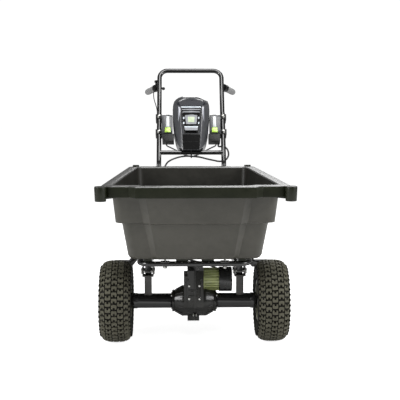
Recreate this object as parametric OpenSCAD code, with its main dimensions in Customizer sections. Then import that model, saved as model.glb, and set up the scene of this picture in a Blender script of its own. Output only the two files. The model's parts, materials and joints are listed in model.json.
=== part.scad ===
// Battery-powered dump cart: a tipping plastic tub over a driven axle, two rear
// casters, and a tubular handle that carries the battery and motor-control case.
// Millimetres, +Z up, front of the cart towards -Y, origin on the ground at the
// middle of the overall footprint.

/* [Overall] */
// Length from the front rim to the grip ends
overall_length = 1381; // [1375:1:1390]
// How far the front rim stands ahead of the drive axle
front_overhang = 415; // [410:1:425]
// Distance from the centre plane to the middle of each drive wheel
half_track = 304; // [303:1:312]

/* [Drive wheels] */
// Outside radius of the drive tyres
tyre_r = 160; // [158:1:160]
// Widest section of the drive tyres
tyre_w = 122; // [118:1:122]
// Radius of the bead seat on the steel rim
bead_r = 76; // [75.6:0.1:76]

/* [Tub] */
// Height of the underside of the tub floor
floor_z = 367; // [366:1:371]
// Height of the moulded ledge round the tub
ledge_z = 505; // [485:1:525]
// Height of the top of the rim
rim_z = 651; // [636:1:666]
// Half width of the floor at the front
floor_half = 243; // [236:1:243]
// Half width of the mouth at the front
mouth_half = 295; // [288:1:296]
// How much narrower each side of the mouth is at the rear
rear_taper = 45; // [30:1:46]
// Width of the flat rim
rim_w = 40; // [34:1:42]
// Depth of the turned-down lip
lip_h = 40; // [30:1:48]
// Wall thickness of the tub
tub_wall = 5; // [4:0.5:6]

/* [Tipping] */
// Height of the tipping pivot
pivot_z = 278; // [278:1:278]
// Distance from the centre plane to each pivot
pivot_x = 180; // [176:1:182]
// Height of the cradle tubes
cradle_z = 345; // [345:1:345]
// Outside radius of the cradle tubes
cradle_r = 10; // [9:0.5:10]
// Distance from the centre plane to each cradle side tube
cradle_x = 205; // [200:1:206]

/* [Handle] */
// Backward lean of the handle, in degrees
lean = 28; // [28:1:28]
// Distance of the handle crossbar behind the drive axle
handle_y = 650; // [645:1:660]
// Height of the handle crossbar
handle_z = 705; // [701:1:709]
// Distance from the centre plane to each handle tube
handle_x = 150; // [150:1:150]
// Outside radius of the handle tubes
handle_r = 11; // [10:0.5:11]
// Length of the upper hoop above the crossbar, measured up the lean
hoop_v = 448; // [440:1:455]

/* [Casters] */
// Radius of the caster wheels
caster_r = 75; // [70:1:75]
// Distance from the centre plane to each caster
caster_x = 320; // [310:1:330]
// Distance of the casters behind the drive axle
caster_y = 545; // [540:1:550]

/* [Gears] */
// Gear module of the reduction train
gear_m = 1.5; // [1.5:0.5:1.5]
// Teeth on the differential ring gear
ring_teeth = 64; // [64:2:64]
// Teeth on the intermediate gear
idler_teeth = 18; // [18:2:18]
// Teeth on the motor pinion
pinion_teeth = 14; // [14:2:14]

/* [Hidden] */
$fn = 48;

axle_y = front_overhang - overall_length / 2;
axle_z = tyre_r;
inner_d = 6;
pitch_r = [ring_teeth * gear_m / 2, idler_teeth * gear_m / 2, pinion_teeth * gear_m / 2];
idler_z = axle_z + pitch_r[0] + pitch_r[1];
motor_z = idler_z + pitch_r[1] + pitch_r[2];
gear_x0 = 6;
gear_w = 14;
shaft_r = 12.5;
run_gap = 0.05;

// ---------- helpers ----------

module from_axle() {
    translate([0, axle_y, 0]) children();
}

// A box from one corner to the other
module block(a, b) {
    translate(a) cube(b - a);
}

// A rod along X from x0 to x1
module rod_x(x0, x1, r, y = 0, z = 0) {
    translate([x0, y, z]) rotate([0, 90, 0]) cylinder(r = r, h = x1 - x0);
}

// A ring along X with a round bore
module ring_x(x0, x1, r_out, r_in, y = 0, z = 0) {
    difference() {
        rod_x(x0, x1, r_out, y, z);
        rod_x(x0 - 1, x1 + 1, r_in, y, z);
    }
}

// A profile drawn as [radius, distance along the axis], turned about X
module turned_x(points, y = 0, z = 0) {
    translate([0, y, z]) rotate([0, 90, 0]) rotate_extrude($fn = 72) polygon(points);
}

// Both sides of the cart
module both_sides() {
    children();
    mirror([1, 0, 0]) children();
}

// Points of a superellipse
function oval(cx, a, b, n, steps = 48) = [
    for (i = [0 : steps - 1])
        let (t = 360 * i / steps, c = cos(t), s = sin(t))
        [cx + a * sign(c) * pow(abs(c), 2 / n), b * sign(s) * pow(abs(s), 2 / n)]
];

function mix(a, b, t) = a + (b - a) * t;

// Frame of the handle: local Z runs up the lean, local -Y faces forward
module handle_frame() {
    translate([0, handle_y, handle_z]) rotate([-lean, 0, 0]) children();
}

function up_lean(v, back = 0) = [
    handle_y + v * sin(lean) + back * cos(lean),
    handle_z + v * cos(lean) - back * sin(lean)
];

// ---------- swept cables ----------

function unit(v) = v / norm(v);

// Catmull-Rom point between p1 and p2
function curve_point(p0, p1, p2, p3, t) = 0.5 * (2 * p1 + (p2 - p0) * t
    + (2 * p0 - 5 * p1 + 4 * p2 - p3) * t * t + (3 * p1 - p0 - 3 * p2 + p3) * t * t * t);

function smooth_path(p, steps) = [
    for (i = [0 : len(p) - 2])
        for (k = [0 : steps - 1])
            curve_point(p[max(i - 1, 0)], p[i], p[i + 1], p[min(i + 2, len(p) - 1)],
                k / steps),
    p[len(p) - 1]
];

function tangent(p, i) = unit(p[min(i + 1, len(p) - 1)] - p[max(i - 1, 0)]);

// Carries a side direction along the path without twist
function carried(p, i) = i == 0
    ? unit(cross(tangent(p, 0), abs(tangent(p, 0)[2]) < 0.9 ? [0, 0, 1] : [1, 0, 0]))
    : let (t = tangent(p, i), u = carried(p, i - 1)) unit(u - t * (u * t));

module swept_tube(points, r, steps = 3, sides = 8) {
    p = smooth_path(points, steps);
    n = len(p);
    ring_points = [
        for (i = [0 : n - 1])
            let (t = tangent(p, i), u = carried(p, i), w = cross(t, u))
            for (k = [0 : sides - 1])
                p[i] + r * (u * cos(360 * k / sides) + w * sin(360 * k / sides))
    ];
    walls = [
        for (i = [0 : n - 2])
            for (k = [0 : sides - 1])
                [i * sides + k, (i + 1) * sides + k,
                    (i + 1) * sides + (k + 1) % sides, i * sides + (k + 1) % sides]
    ];
    start = [for (k = [0 : sides - 1]) k];
    end = [for (k = [0 : sides - 1]) n * sides - 1 - k];
    polyhedron(ring_points, concat([start], walls, [end]), convexity = 10);
}

// ---------- tub ----------

ledge_out = 21;
ledge_half = floor_half + 20;
ledge_rise = 6;
floor_front = -235;
floor_rear = 400;
ledge_front = -283;
ledge_rear = 446;
mouth_front = -348;
mouth_rear = 490;
mouth_z = rim_z - 14;
bulge_floor = 14;
bulge_mouth = 27;

// Half width, front and rear of the wall at a height
function wall_at(z) = z <= ledge_z
    ? let (t = (z - floor_z) / (ledge_z - floor_z))
        [mix(floor_half, ledge_half, t), mix(floor_front, ledge_front, t),
            mix(floor_rear, ledge_rear, t)]
    : let (t = (z - ledge_z) / (mouth_z - ledge_z))
        [mix(ledge_half + ledge_out, mouth_half, t),
            mix(ledge_front - ledge_out, mouth_front, t),
            mix(ledge_rear + ledge_out, mouth_rear, t)];

// One outline of the tub: height, outset from the wall, wall height it copies
function tub_ring(z, out, copy) =
    let (w = wall_at(copy), t = (copy - floor_z) / (mouth_z - floor_z),
        half = w[0] + out * (out > 0 ? 0.82 : 1), front = w[1] - out, rear = w[2] + out,
        rear_half = half - mix(rear_taper - 10, rear_taper, t),
        r = max(34 + out * (out > 0 ? 0.2 : 1), 8), depth = mix(bulge_floor, bulge_mouth, t),
        inner = mix(138, 178, t) + out * (out > 0 ? 0.72 : 0.5),
        outer = inner + mix(18, 30, t) - max(out, 0) * 0.17)
    concat(
        [for (a = [180 : 15 : 270]) [-(half - r) + r * cos(a), front + r + r * sin(a), z]],
        [[-outer, front, z], [-inner, front - depth, z], [inner, front - depth, z],
            [outer, front, z]],
        [for (a = [270 : 15 : 360]) [half - r + r * cos(a), front + r + r * sin(a), z]],
        [for (a = [0 : 15 : 90]) [rear_half - r + r * cos(a), rear - r + r * sin(a), z]],
        [for (a = [90 : 15 : 180])
            [-(rear_half - r) + r * cos(a), rear - r + r * sin(a), z]]
    );

tub_rings = let (top = ledge_z + ledge_rise, wall = tub_wall) [
    tub_ring(floor_z, -16, floor_z),
    tub_ring(floor_z + 4, -5, floor_z + 4),
    tub_ring(floor_z + 16, 0, floor_z + 16),
    tub_ring(ledge_z, 0, ledge_z),
    tub_ring(top, 0, top),
    tub_ring(rim_z - wall, 0, mouth_z),
    tub_ring(rim_z - wall, rim_w - wall, mouth_z),
    tub_ring(rim_z - lip_h, rim_w - wall + 2, mouth_z),
    tub_ring(rim_z - lip_h, rim_w, mouth_z),
    tub_ring(rim_z - 4, rim_w, mouth_z),
    tub_ring(rim_z, rim_w - 4, mouth_z),
    tub_ring(rim_z, 0, mouth_z),
    tub_ring(rim_z - 6, -wall, mouth_z),
    tub_ring(top + wall, -wall, top),
    tub_ring(ledge_z + wall, -wall, ledge_z),
    tub_ring(floor_z + 20, -wall, floor_z + 20),
    tub_ring(floor_z + 9, -wall - 4, floor_z + 9),
    tub_ring(floor_z + wall, -wall - 14, floor_z + wall)
];

module loft(rings) {
    n = len(rings[0]);
    m = len(rings);
    walls = [
        for (i = [0 : m - 2])
            for (k = [0 : n - 1])
                [i * n + k, (i + 1) * n + k, (i + 1) * n + (k + 1) % n, i * n + (k + 1) % n]
    ];
    bottom = [for (k = [0 : n - 1]) k];
    top = [for (k = [0 : n - 1]) m * n - 1 - k];
    polyhedron([for (r = rings) for (p = r) p], concat([bottom], walls, [top]),
        convexity = 12);
}

cradle_front = -200;
cradle_rear = 440;
cradle_bend = 45;
cradle_middle = 196;
boss_at = [mouth_half + 31, mouth_front - 44, rim_z - 52];
boss_r = 21;
bolt_spots = [for (x = [-110, 110]) for (y = [cradle_front, cradle_middle]) [x, y]];
battens = [[24, 70], [160, 188]];

module tub() {
    color("dimgray") difference() {
        union() {
            loft(tub_rings);
            both_sides() {
                translate(boss_at) cylinder(r1 = boss_r - 2, r2 = boss_r, h = 50.8);
                // web that ties the boss to the corner of the rim
                translate([boss_at[0], boss_at[1], rim_z - lip_h - 5]) rotate([0, 0, 135])
                    block([0, -7, 0], [62, 7, lip_h - 3]);
                // raised pad at the rear corner and cross ridge along the side
                block([236, mouth_rear + 10, rim_z - 3],
                    [264, mouth_rear + rim_w - 13, rim_z + 7]);
                rod_x(mouth_half - 20, mouth_half + 7, 3.5, 82, rim_z - 0.7);
                for (b = battens) block([b[0], floor_front + 30, cradle_z + cradle_r + 0.3],
                    [b[1], floor_rear - 34, floor_z + 1]);
            }
        }
        both_sides() translate(boss_at - [0, 0, 1]) cylinder(r = boss_r - 6, h = 46);
        for (s = bolt_spots)
            translate([s[0], s[1], floor_z - 20]) cylinder(r = 4.3, h = 40);
        for (s = bolt_spots) translate([s[0], s[1], floor_z + 1])
            cylinder(r1 = 5.2, r2 = 11.7, h = tub_wall - 0.5);
    }
}

module cradle_corner() {
    translate([cradle_x - cradle_bend, cradle_front + cradle_bend, cradle_z])
        rotate([0, 0, -90]) rotate_extrude(angle = 90)
            translate([cradle_bend, 0]) circle(r = cradle_r);
}

module tub_cradle() {
    color("black") difference() {
        union() {
            rod_x(-(cradle_x - cradle_bend), cradle_x - cradle_bend, cradle_r,
                cradle_front, cradle_z);
            both_sides() {
                cradle_corner();
                translate([cradle_x, cradle_front + cradle_bend, cradle_z])
                    rotate([-90, 0, 0])
                        cylinder(r = cradle_r, h = cradle_rear - cradle_front - cradle_bend + 8);
                // hinge lug and its gusset
                rod_x(pivot_x - 10, pivot_x + 10, 14, 0, pivot_z);
                block([pivot_x - 10, -13, pivot_z], [pivot_x + 10, 13, cradle_z + 4]);
                block([pivot_x - 10, -20, cradle_z - 26], [cradle_x + 2, 20, cradle_z]);
            }
            for (y = [cradle_middle, cradle_rear])
                rod_x(-cradle_x, cradle_x, cradle_r, y, cradle_z);
            for (s = bolt_spots)
                block([s[0] - 16, s[1] - 15, cradle_z + 6],
                    [s[0] + 16, s[1] + 15, cradle_z + cradle_r]);
        }
        both_sides() rod_x(pivot_x - 20, pivot_x + 20, inner_d + run_gap, 0, pivot_z);
        for (s = bolt_spots)
            translate([s[0], s[1], cradle_z - 20]) cylinder(r = 4.3, h = 60);
    }
}

module tub_bolts() {
    color("silver") for (s = bolt_spots) translate([s[0], s[1], 0]) {
        translate([0, 0, floor_z + 1.2]) cylinder(r1 = 5, r2 = 10, h = tub_wall - 1.5);
        translate([0, 0, cradle_z - 18]) cylinder(r = 4, h = floor_z - cradle_z + 20);
        translate([0, 0, cradle_z - 17]) cylinder(r = 7.5, h = 6.8, $fn = 6);
    }
}

// ---------- chassis ----------

rail_half = 12.5;
rail_h = 40;
rail_front = 24;
rail_rear = 650;
rail_top = pivot_z + rail_h / 2;
latch_y = 482;
foot_spots = [for (y = [600, 639]) [y, pivot_z]];
lever_foot_y = handle_y - 30.5;

module chassis_rails() {
    color("black") both_sides() difference() {
        block([pivot_x - rail_half, rail_front, pivot_z - rail_h / 2],
            [pivot_x + rail_half, rail_rear, rail_top]);
        block([pivot_x - rail_half + 2.5, rail_front - 1, pivot_z - rail_h / 2 + 2.5],
            [pivot_x + rail_half - 2.5, rail_rear + 1, rail_top - 2.5]);
        for (s = concat(foot_spots, [[44, pivot_z]]))
            rod_x(pivot_x - 20, pivot_x + 20, 4.3, s[0], s[1]);
    }
}

// Beam that carries the casters, stepped down at both ends
beam_z = [224, 254];
beam_end_z = [188, 218];
module rear_beam() {
    color("black") {
        translate([0, caster_y + 15, 0]) rotate([90, 0, 0]) linear_extrude(height = 30)
            polygon([[-350, beam_end_z[0]], [-276, beam_end_z[0]], [-246, beam_z[0]],
                [246, beam_z[0]], [276, beam_end_z[0]], [350, beam_end_z[0]],
                [350, beam_end_z[1]], [288, beam_end_z[1]], [258, beam_z[1]],
                [-258, beam_z[1]], [-288, beam_end_z[1]], [-350, beam_end_z[1]]]);
        both_sides() block([pivot_x - 12, caster_y - 12, beam_z[1]],
            [pivot_x + 12, caster_y + 12, pivot_z - rail_h / 2]);
    }
}

// Crossbar between the rails with the ears and pin of the tub latch
latch_pivot = [latch_y, 329];
module latch_crossbar() {
    color("black") {
        block([-(pivot_x - rail_half), latch_y - 12.5, pivot_z - 12.5],
            [pivot_x - rail_half, latch_y + 12.5, pivot_z + 12.5]);
        for (s = [-1, 1]) block([s * 12 - 2, latch_y - 11, pivot_z + 12],
            [s * 12 + 2, latch_y + 11, latch_pivot[1] + 11]);
        rod_x(-14, 14, 4, latch_pivot[0], latch_pivot[1]);
    }
}

ear_in = 18;
ear_out = 22;
module axle_posts() {
    color("dimgray") both_sides() difference() {
        union() {
            block([pivot_x - 14, -14, axle_z + 10], [pivot_x + 14, 14, pivot_z - 18.5]);
            block([pivot_x - ear_out, -22, pivot_z - 19], [pivot_x + ear_out, 20, pivot_z - 14.6]);
            for (s = [-1, 1])
                block([pivot_x + s * (ear_in + ear_out) / 2 - 2, -22, pivot_z - 19],
                    [pivot_x + s * (ear_in + ear_out) / 2 + 2, 60, pivot_z + 21]);
        }
        rod_x(0, 400, 29.2, 0, axle_z);
        block([pivot_x - 11.5, -11.5, axle_z], [pivot_x + 11.5, 11.5, pivot_z - 20]);
        rod_x(0, 400, inner_d + 0.1, 0, pivot_z);
        rod_x(0, 400, 4.3, 44, pivot_z);
    }
}

module hex_bolt_x(x0, x1, r, y, z, head) {
    rod_x(x0, x1, r, y, z);
    translate([x0 - head, y, z]) rotate([0, 90, 0]) cylinder(r = r * 1.9, h = head, $fn = 6);
    translate([x1 - head / 2, y, z]) rotate([0, 90, 0])
        cylinder(r = r * 1.9, h = head, $fn = 6);
}

module pivot_bolts() {
    color("silver") both_sides() {
        hex_bolt_x(pivot_x - ear_out - 0.3, pivot_x + ear_out + 3, inner_d, 0, pivot_z, 5);
        hex_bolt_x(pivot_x - ear_out - 0.3, pivot_x + ear_out + 3, 4, 44, pivot_z, 4);
    }
}

module rest_pads() {
    color("black") both_sides()
        block([pivot_x - 10, cradle_rear - 14, rail_top + 0.1],
            [pivot_x + 10, cradle_rear + 14, cradle_z - cradle_r - 0.2]);
}

// ---------- transaxle ----------

flange_x = 86;
case_split = 2;
bearing_r = 25.2;

module case_outside() {
    turned_x([[0, -flange_x], [43, -flange_x], [43, -77], [41, -77], [60, -44], [60, 44],
        [41, 77], [43, 77], [43, flange_x], [0, flange_x]], 0, axle_z);
    block([-40, -66, axle_z - 13], [36, 44, axle_z + 110]);
    block([-26, -66, axle_z + 90], [36, 44, axle_z + 131]);
    // parting flange
    rod_x(case_split - 4, case_split + 4, 64, 0, axle_z);
    block([case_split - 4, -68, axle_z - 16], [case_split + 4, 48, axle_z + 133]);
    for (b = case_bolts) rod_x(case_split - 4, case_split + 4, 8, b[0], axle_z + b[1]);
    // sump
    block([-26, -24, axle_z - 76], [20, 24, axle_z - 50]);
}

module case_inside() {
    turned_x([[0, -58], [42, -58], [55, -36], [55, 36], [42, 58], [0, 58]], 0, axle_z);
    rod_x(-flange_x - 1, flange_x + 1, bearing_r + 0.2, 0, axle_z);
    block([-34, -58, axle_z + 4], [30, 38, axle_z + 104]);
    block([-20, -58, axle_z + 90], [30, 38, axle_z + 125]);
}

case_bolts = [[47.4, -47.4], [-47.4, -47.4]];
face_screws = [[-20, 72], [-20, 21], [20, 72], [20, 21]];

module case_half(side) {
    difference() {
        intersection() {
            case_outside();
            if (side < 0) block([-200, -200, 0], [case_split - 0.1, 200, 400]);
            else block([case_split + 0.1, -200, 0], [200, 200, 400]);
        }
        // the cavity stops short of the saddle that the motor sits in
        difference() {
            case_inside();
            if (side > 0) rod_x(motor_x[0] - 4, 90, 49.5, 0, motor_z);
        }
        if (side > 0) rod_x(motor_x[0] - 0.1, 90, 45.5, 0, motor_z);
        rod_x(20, 60, 14, 0, motor_z);
        for (b = case_bolts) rod_x(-60, 60, 3.3, b[0], axle_z + b[1]);
    }
}

module transaxle_case_left() {
    color("black") {
        case_half(-1);
        // cast stub the idler turns on
        rod_x(-36, 29.5, 5, 0, idler_z);
    }
}

module transaxle_case_right() {
    color("black") case_half(1);
}

module transaxle_bolts() {
    color("silver") {
        for (b = case_bolts)
            hex_bolt_x(case_split - 4.3, case_split + 5.7, 3, b[0], axle_z + b[1], 3);
        for (side = [-1, 1]) for (a = [45 : 90 : 315])
            translate([side * (flange_x + 0.1), 36 * cos(a), axle_z + 36 * sin(a)])
                rotate([0, side * 90, 0]) cylinder(r = 4.5, h = 4, $fn = 6);
        for (b = face_screws) translate([b[0], -66.2, axle_z + b[1]])
            rotate([90, 0, 0]) cylinder(r = 4, h = 3.5);
        for (x = [-18, -3, 12]) translate([x, 0, axle_z - 80.2])
            cylinder(r = 5, h = 4, $fn = 6);
    }
}

module axle_tubes() {
    color("black") both_sides() difference() {
        union() {
            rod_x(flange_x + 0.1, 247, 29, 0, axle_z);
            rod_x(222, 247, 31, 0, axle_z);
        }
        rod_x(flange_x - 1, 260, bearing_r + 0.2, 0, axle_z);
    }
}

module shaft_bearings() {
    color("silver") {
        both_sides() {
            ring_x(62, 76, bearing_r, 17 + run_gap, 0, axle_z);
            ring_x(228, 243, bearing_r, shaft_r + run_gap, 0, axle_z);
        }
        ring_x(30.2, 35.8, 13.8, inner_d + run_gap, 0, motor_z);
        ring_x(motor_x[1] + 0.4, motor_x[1] + 7.8, 13.8, inner_d + run_gap, 0, motor_z);
    }
}

motor_x = [36.2, 97];
module motor_housing() {
    color("yellowgreen") difference() {
        union() {
            rod_x(motor_x[0], motor_x[1], 39.5, 0, motor_z);
            rod_x(motor_x[0], motor_x[0] + 4, 45, 0, motor_z);
            for (a = [0 : 15 : 345]) translate([0, 0, motor_z]) rotate([a, 0, 0])
                block([motor_x[0] + 4, -1.3, 37], [motor_x[1], 1.3, 45]);
        }
        rod_x(motor_x[0] - 1, motor_x[1] + 1, 36, 0, motor_z);
    }
}

module motor_stator() {
    color("peru") ring_x(46, 88, 35.8, 24, 0, motor_z);
}

module motor_end_cap() {
    color("black") difference() {
        rod_x(motor_x[1] + 0.1, 148, 48, 0, motor_z);
        rod_x(motor_x[1] + 8, 144, 43, 0, motor_z);
        rod_x(motor_x[1] - 1, motor_x[1] + 9, 14, 0, motor_z);
    }
}

// ---------- gears ----------

pressure = 25;
backlash = 0.16;

function inv_angle(a) = tan(a) * 180 / PI - a;

// Half angle of a tooth at radius r, in degrees
function tooth_half(rp, rb, r) = let (a = acos(min(1, rb / r)))
    (90 - backlash * 90 / gear_m) / (rp * 2 / gear_m) + inv_angle(pressure) - inv_angle(a);

function gear_outline(teeth) =
    let (rp = teeth * gear_m / 2, rb = rp * cos(pressure), tip = rp + 0.8 * gear_m,
        root = rp - 1.15 * gear_m, low = max(root, rb + 0.01))
    [for (i = [0 : teeth - 1])
        let (c = 360 * i / teeth, h0 = tooth_half(rp, rb, low), h2 = tooth_half(rp, rb, tip))
        for (p = [[root, -h0], [low, -h0], [rp, -tooth_half(rp, rb, rp)], [tip, -h2],
            [tip, h2], [rp, tooth_half(rp, rb, rp)], [low, h0], [root, h0 + 0.01]])
            [p[0] * cos(c + p[1]), p[0] * sin(c + p[1])]];

// A gear about the X axis; turn is the angle of its first tooth from +Z
module gear_x(teeth, turn, x0, width, z) {
    translate([x0, 0, z]) rotate([turn, 0, 0]) rotate([0, 90, 0]) rotate([0, 0, 180])
        linear_extrude(height = width) polygon(gear_outline(teeth));
}

module ring_gear() {
    color("gray") difference() {
        gear_x(ring_teeth, 0, gear_x0, gear_w, axle_z);
        rod_x(0, 60, 30.2, 0, axle_z);
    }
}

module differential_carrier() {
    color("gray") difference() {
        union() {
            rod_x(-25, 25, 30, 0, axle_z);
            rod_x(gear_x0 - 6, gear_x0 - 0.1, 42, 0, axle_z);
            rod_x(-76, 76, 17, 0, axle_z);
        }
        rod_x(-20, 20, 25, 0, axle_z);
        rod_x(-80, 80, shaft_r + run_gap, 0, axle_z);
        translate([0, -40, axle_z]) rotate([-90, 0, 0]) cylinder(r = 4.05, h = 80);
    }
}

module spider_gears() {
    color("silver") translate([0, 0, axle_z]) {
        rotate([-90, 0, 0]) translate([0, 0, -29.5]) cylinder(r = 4, h = 59);
        for (a = [-90, 90]) rotate([a, 0, 0]) translate([0, 0, 9.5]) difference() {
            cylinder(r1 = 8, r2 = 16.5, h = 8.5);
            translate([0, 0, -1]) cylinder(r = 4.05, h = 12);
        }
    }
}

module idler_gear() {
    color("gray") difference() {
        gear_x(idler_teeth, 180 / idler_teeth, gear_x0, gear_w, idler_z);
        rod_x(0, 60, 5 + run_gap, 0, idler_z);
    }
}

module motor_rotor() {
    color("gray") {
        gear_x(pinion_teeth, 0, gear_x0, gear_w, motor_z);
        rod_x(gear_x0 - 4, 122, inner_d, 0, motor_z);
        rod_x(46, 88, 23.4, 0, motor_z);
    }
}

// ---------- wheels ----------

tyre_mid = (tyre_r + 70) / 2;
tyre_half_h = tyre_r - tyre_mid;

module tyre() {
    color("black") rotate([0, 90, 0]) rotate_extrude($fn = 96) difference() {
        polygon(oval(tyre_mid, tyre_half_h, tyre_w / 2, 3));
        polygon(oval(tyre_mid, tyre_half_h - 9, tyre_w / 2 - 9, 3));
        translate([0, -38]) square([tyre_mid, 76]);
        translate([0, -100]) square([bead_r + 0.4, 200]);
    }
}

module at_wheel(side) {
    translate([side * half_track, 0, axle_z]) rotate([0, 0, side < 0 ? 180 : 0]) children();
}

nut_circle = 38;
hub_out = 10;

module wheel_rim() {
    color("gainsboro") difference() {
        union() {
            rotate([0, 90, 0]) rotate_extrude($fn = 96)
                polygon([[71, -54.5], [81, -54.5], [81, -51.5], [bead_r, -50.5],
                    [bead_r, -20], [69, -14], [69, 14], [bead_r, 20], [bead_r, 50.5],
                    [81, 51.5], [81, 54.5], [71, 54.5], [71, 24], [65, 16],
                    [65, hub_out + 4.5], [20, hub_out + 4.5], [20, hub_out],
                    [65, hub_out], [65, -16], [71, -24]]);
        }
        for (a = [0 : 90 : 270]) rotate([a, 0, 0])
            rod_x(hub_out - 10, hub_out + 20, 5.3, nut_circle, 0);
        for (a = [45 : 90 : 315]) rotate([a, 0, 0])
            rod_x(hub_out - 10, hub_out + 20, 8, 54, 0);
    }
}

// Drive shaft from the differential side gear out to the hub flange and its studs
module half_shaft() {
    color("gray") {
        rod_x(-half_track + 22, hub_out + 22, shaft_r, 0, 0);
        translate([-half_track + 8.5, 0, 0]) rotate([0, 90, 0])
            cylinder(r1 = 7.5, r2 = 17, h = 9.5);
        rod_x(-half_track + 17.9, -half_track + 22.1, shaft_r, 0, 0);
        rod_x(-half_track + 249, hub_out - 8, 24, 0, 0);
        rod_x(hub_out - 8.2, hub_out - 0.2, 50, 0, 0);
        for (a = [0 : 90 : 270]) rotate([a, 0, 0])
            rod_x(hub_out - 1, hub_out + 14, 5, nut_circle, 0);
    }
}

module wheel_nuts() {
    color("silver") {
        for (a = [0 : 90 : 270]) rotate([a, 0, 0]) difference() {
            translate([hub_out + 4.7, nut_circle, 0]) rotate([0, 90, 0])
                cylinder(r = 9.5, h = 8, $fn = 6);
            rod_x(hub_out, hub_out + 20, 5.1, nut_circle, 0);
        }
        difference() {
            union() {
                rod_x(hub_out + 4.7, hub_out + 8, 24, 0, 0);
                rod_x(hub_out + 8, hub_out + 27, 19, 0, 0);
            }
            rod_x(hub_out, hub_out + 23, shaft_r + 0.2, 0, 0);
        }
    }
}

module tyre_left() { at_wheel(-1) tyre(); }
module tyre_right() { at_wheel(1) tyre(); }
module rim_left() { at_wheel(-1) wheel_rim(); }
module rim_right() { at_wheel(1) wheel_rim(); }
module half_shaft_left() { at_wheel(-1) half_shaft(); }
module half_shaft_right() { at_wheel(1) half_shaft(); }
module wheel_nuts_left() { at_wheel(-1) wheel_nuts(); }
module wheel_nuts_right() { at_wheel(1) wheel_nuts(); }

// ---------- casters ----------

trail = 45;
plate_z = beam_end_z[0];

module caster_plates() {
    color("silver") both_sides() translate([caster_x, caster_y, 0]) {
        block([-28, -40, plate_z - 4.1], [28, 40, plate_z - 0.1]);
        translate([0, 0, plate_z - 33]) cylinder(r = inner_d, h = 30);
        translate([0, 0, plate_z - 34]) cylinder(r = 11, h = 5, $fn = 6);
    }
}

module caster_fork() {
    color("silver") difference() {
        union() {
            translate([0, 0, plate_z - 21]) cylinder(r = 27, h = 16.7);
            block([-29, -24, plate_z - 24], [29, trail + 12, plate_z - 20]);
            for (s = [-1, 1]) {
                block([s * 27 - 2, trail - 16, caster_r - 14], [s * 27 + 2, trail + 12, plate_z - 21]);
                block([s * 27 - 2, -24, caster_r + 55], [s * 27 + 2, trail, plate_z - 21]);
            }
            rod_x(-25.5, 25.5, 5, trail, caster_r);
            for (s = [-1, 1]) translate([s * 31, trail, caster_r])
                rotate([0, 90, 0]) translate([0, 0, -2.5]) cylinder(r = 9, h = 5, $fn = 6);
        }
        translate([0, 0, plate_z - 60]) cylinder(r = inner_d + run_gap, h = 80);
        translate([0, 0, plate_z - 40]) cylinder(r = 12.5, h = 15.9);
    }
}

module caster_wheel() {
    color("black") difference() {
        rotate([0, 90, 0]) rotate_extrude($fn = 72)
            polygon([[5 + run_gap, -22], [14, -22], [14, -14], [52, -14], [56, -20],
                [caster_r - 6, -20], [caster_r, -13], [caster_r, 13], [caster_r - 6, 20],
                [56, 20], [52, 14], [14, 14], [14, 22], [5 + run_gap, 22]]);
    }
}

module at_caster(side) { translate([side * caster_x, caster_y, 0]) children(); }
module caster_fork_left() { at_caster(-1) caster_fork(); }
module caster_fork_right() { at_caster(1) caster_fork(); }
module caster_wheel_left() { at_caster(-1) translate([0, trail, caster_r]) caster_wheel(); }
module caster_wheel_right() { at_caster(1) translate([0, trail, caster_r]) caster_wheel(); }

// ---------- handle ----------

lower_top_v = 205;
bend_v = -45;
foot_z = 258;
bend_r = 80;
bend_end = let (a = up_lean(bend_v)) [a[0] + bend_r * (cos(lean) - 1), a[1] - bend_r * sin(lean)];

module lower_tube(r, end_gap) {
    handle_frame() translate([0, 0, bend_v]) cylinder(r = r, h = lower_top_v - bend_v + end_gap);
    translate([0, bend_end[0] + bend_r, bend_end[1]]) rotate([90, 0, -90])
        rotate_extrude(angle = lean) translate([bend_r, 0]) circle(r = r);
    translate([0, bend_end[0], foot_z - end_gap])
        cylinder(r = r, h = bend_end[1] - foot_z + end_gap);
}

module lower_handle() {
    color("black") difference() {
        union() {
            both_sides() {
                translate([handle_x, 0, 0]) lower_tube(handle_r, 0);
                block([handle_x + 9, bend_end[0] - 30, pivot_z - 18],
                    [pivot_x - rail_half - 0.1, bend_end[0] + 28, pivot_z + 22]);
            }
            translate([0, handle_y, handle_z]) rod_x(-handle_x, handle_x, handle_r - 0.6);
        }
        both_sides() translate([handle_x, 0, 0]) lower_tube(handle_r - 1.6, 2);
        for (v = clamp_v) handle_frame() both_sides() translate([handle_x, 0, v])
            rotate([90, 0, 0]) cylinder(r = 4.2, h = 80, center = true);
        for (s = foot_spots) rod_x(-220, 220, 4.3, s[0], s[1]);
    }
}

hoop_back = 24;
hoop_bend = 40;
clamp_v = [102, 181];
hoop_low = 84;

module hoop_tube(r, gap) {
    both_sides() {
        translate([handle_x, hoop_back, hoop_low - gap])
            cylinder(r = r, h = hoop_v - hoop_bend - hoop_low + gap);
        translate([handle_x - hoop_bend, hoop_back, hoop_v - hoop_bend]) rotate([90, 0, 0])
            rotate_extrude(angle = 90) translate([hoop_bend, 0]) circle(r = r);
    }
    translate([0, hoop_back, hoop_v])
        rod_x(-(handle_x - hoop_bend), handle_x - hoop_bend, r);
}

grip_v = 362;
grip_at = let (p = up_lean(grip_v, hoop_back)) [handle_x, p[0], p[1]];
grip_yaw = 28.5;
grip_pitch = 11.4;
grip_end = 140;

// Frame of a grip: local Z runs out along it, local Y points down
module grip_frame(side) {
    translate([side * grip_at[0], grip_at[1], grip_at[2]])
        rotate([0, 0, -side * grip_yaw]) rotate([-90 - grip_pitch, 0, 0]) children();
}

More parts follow.
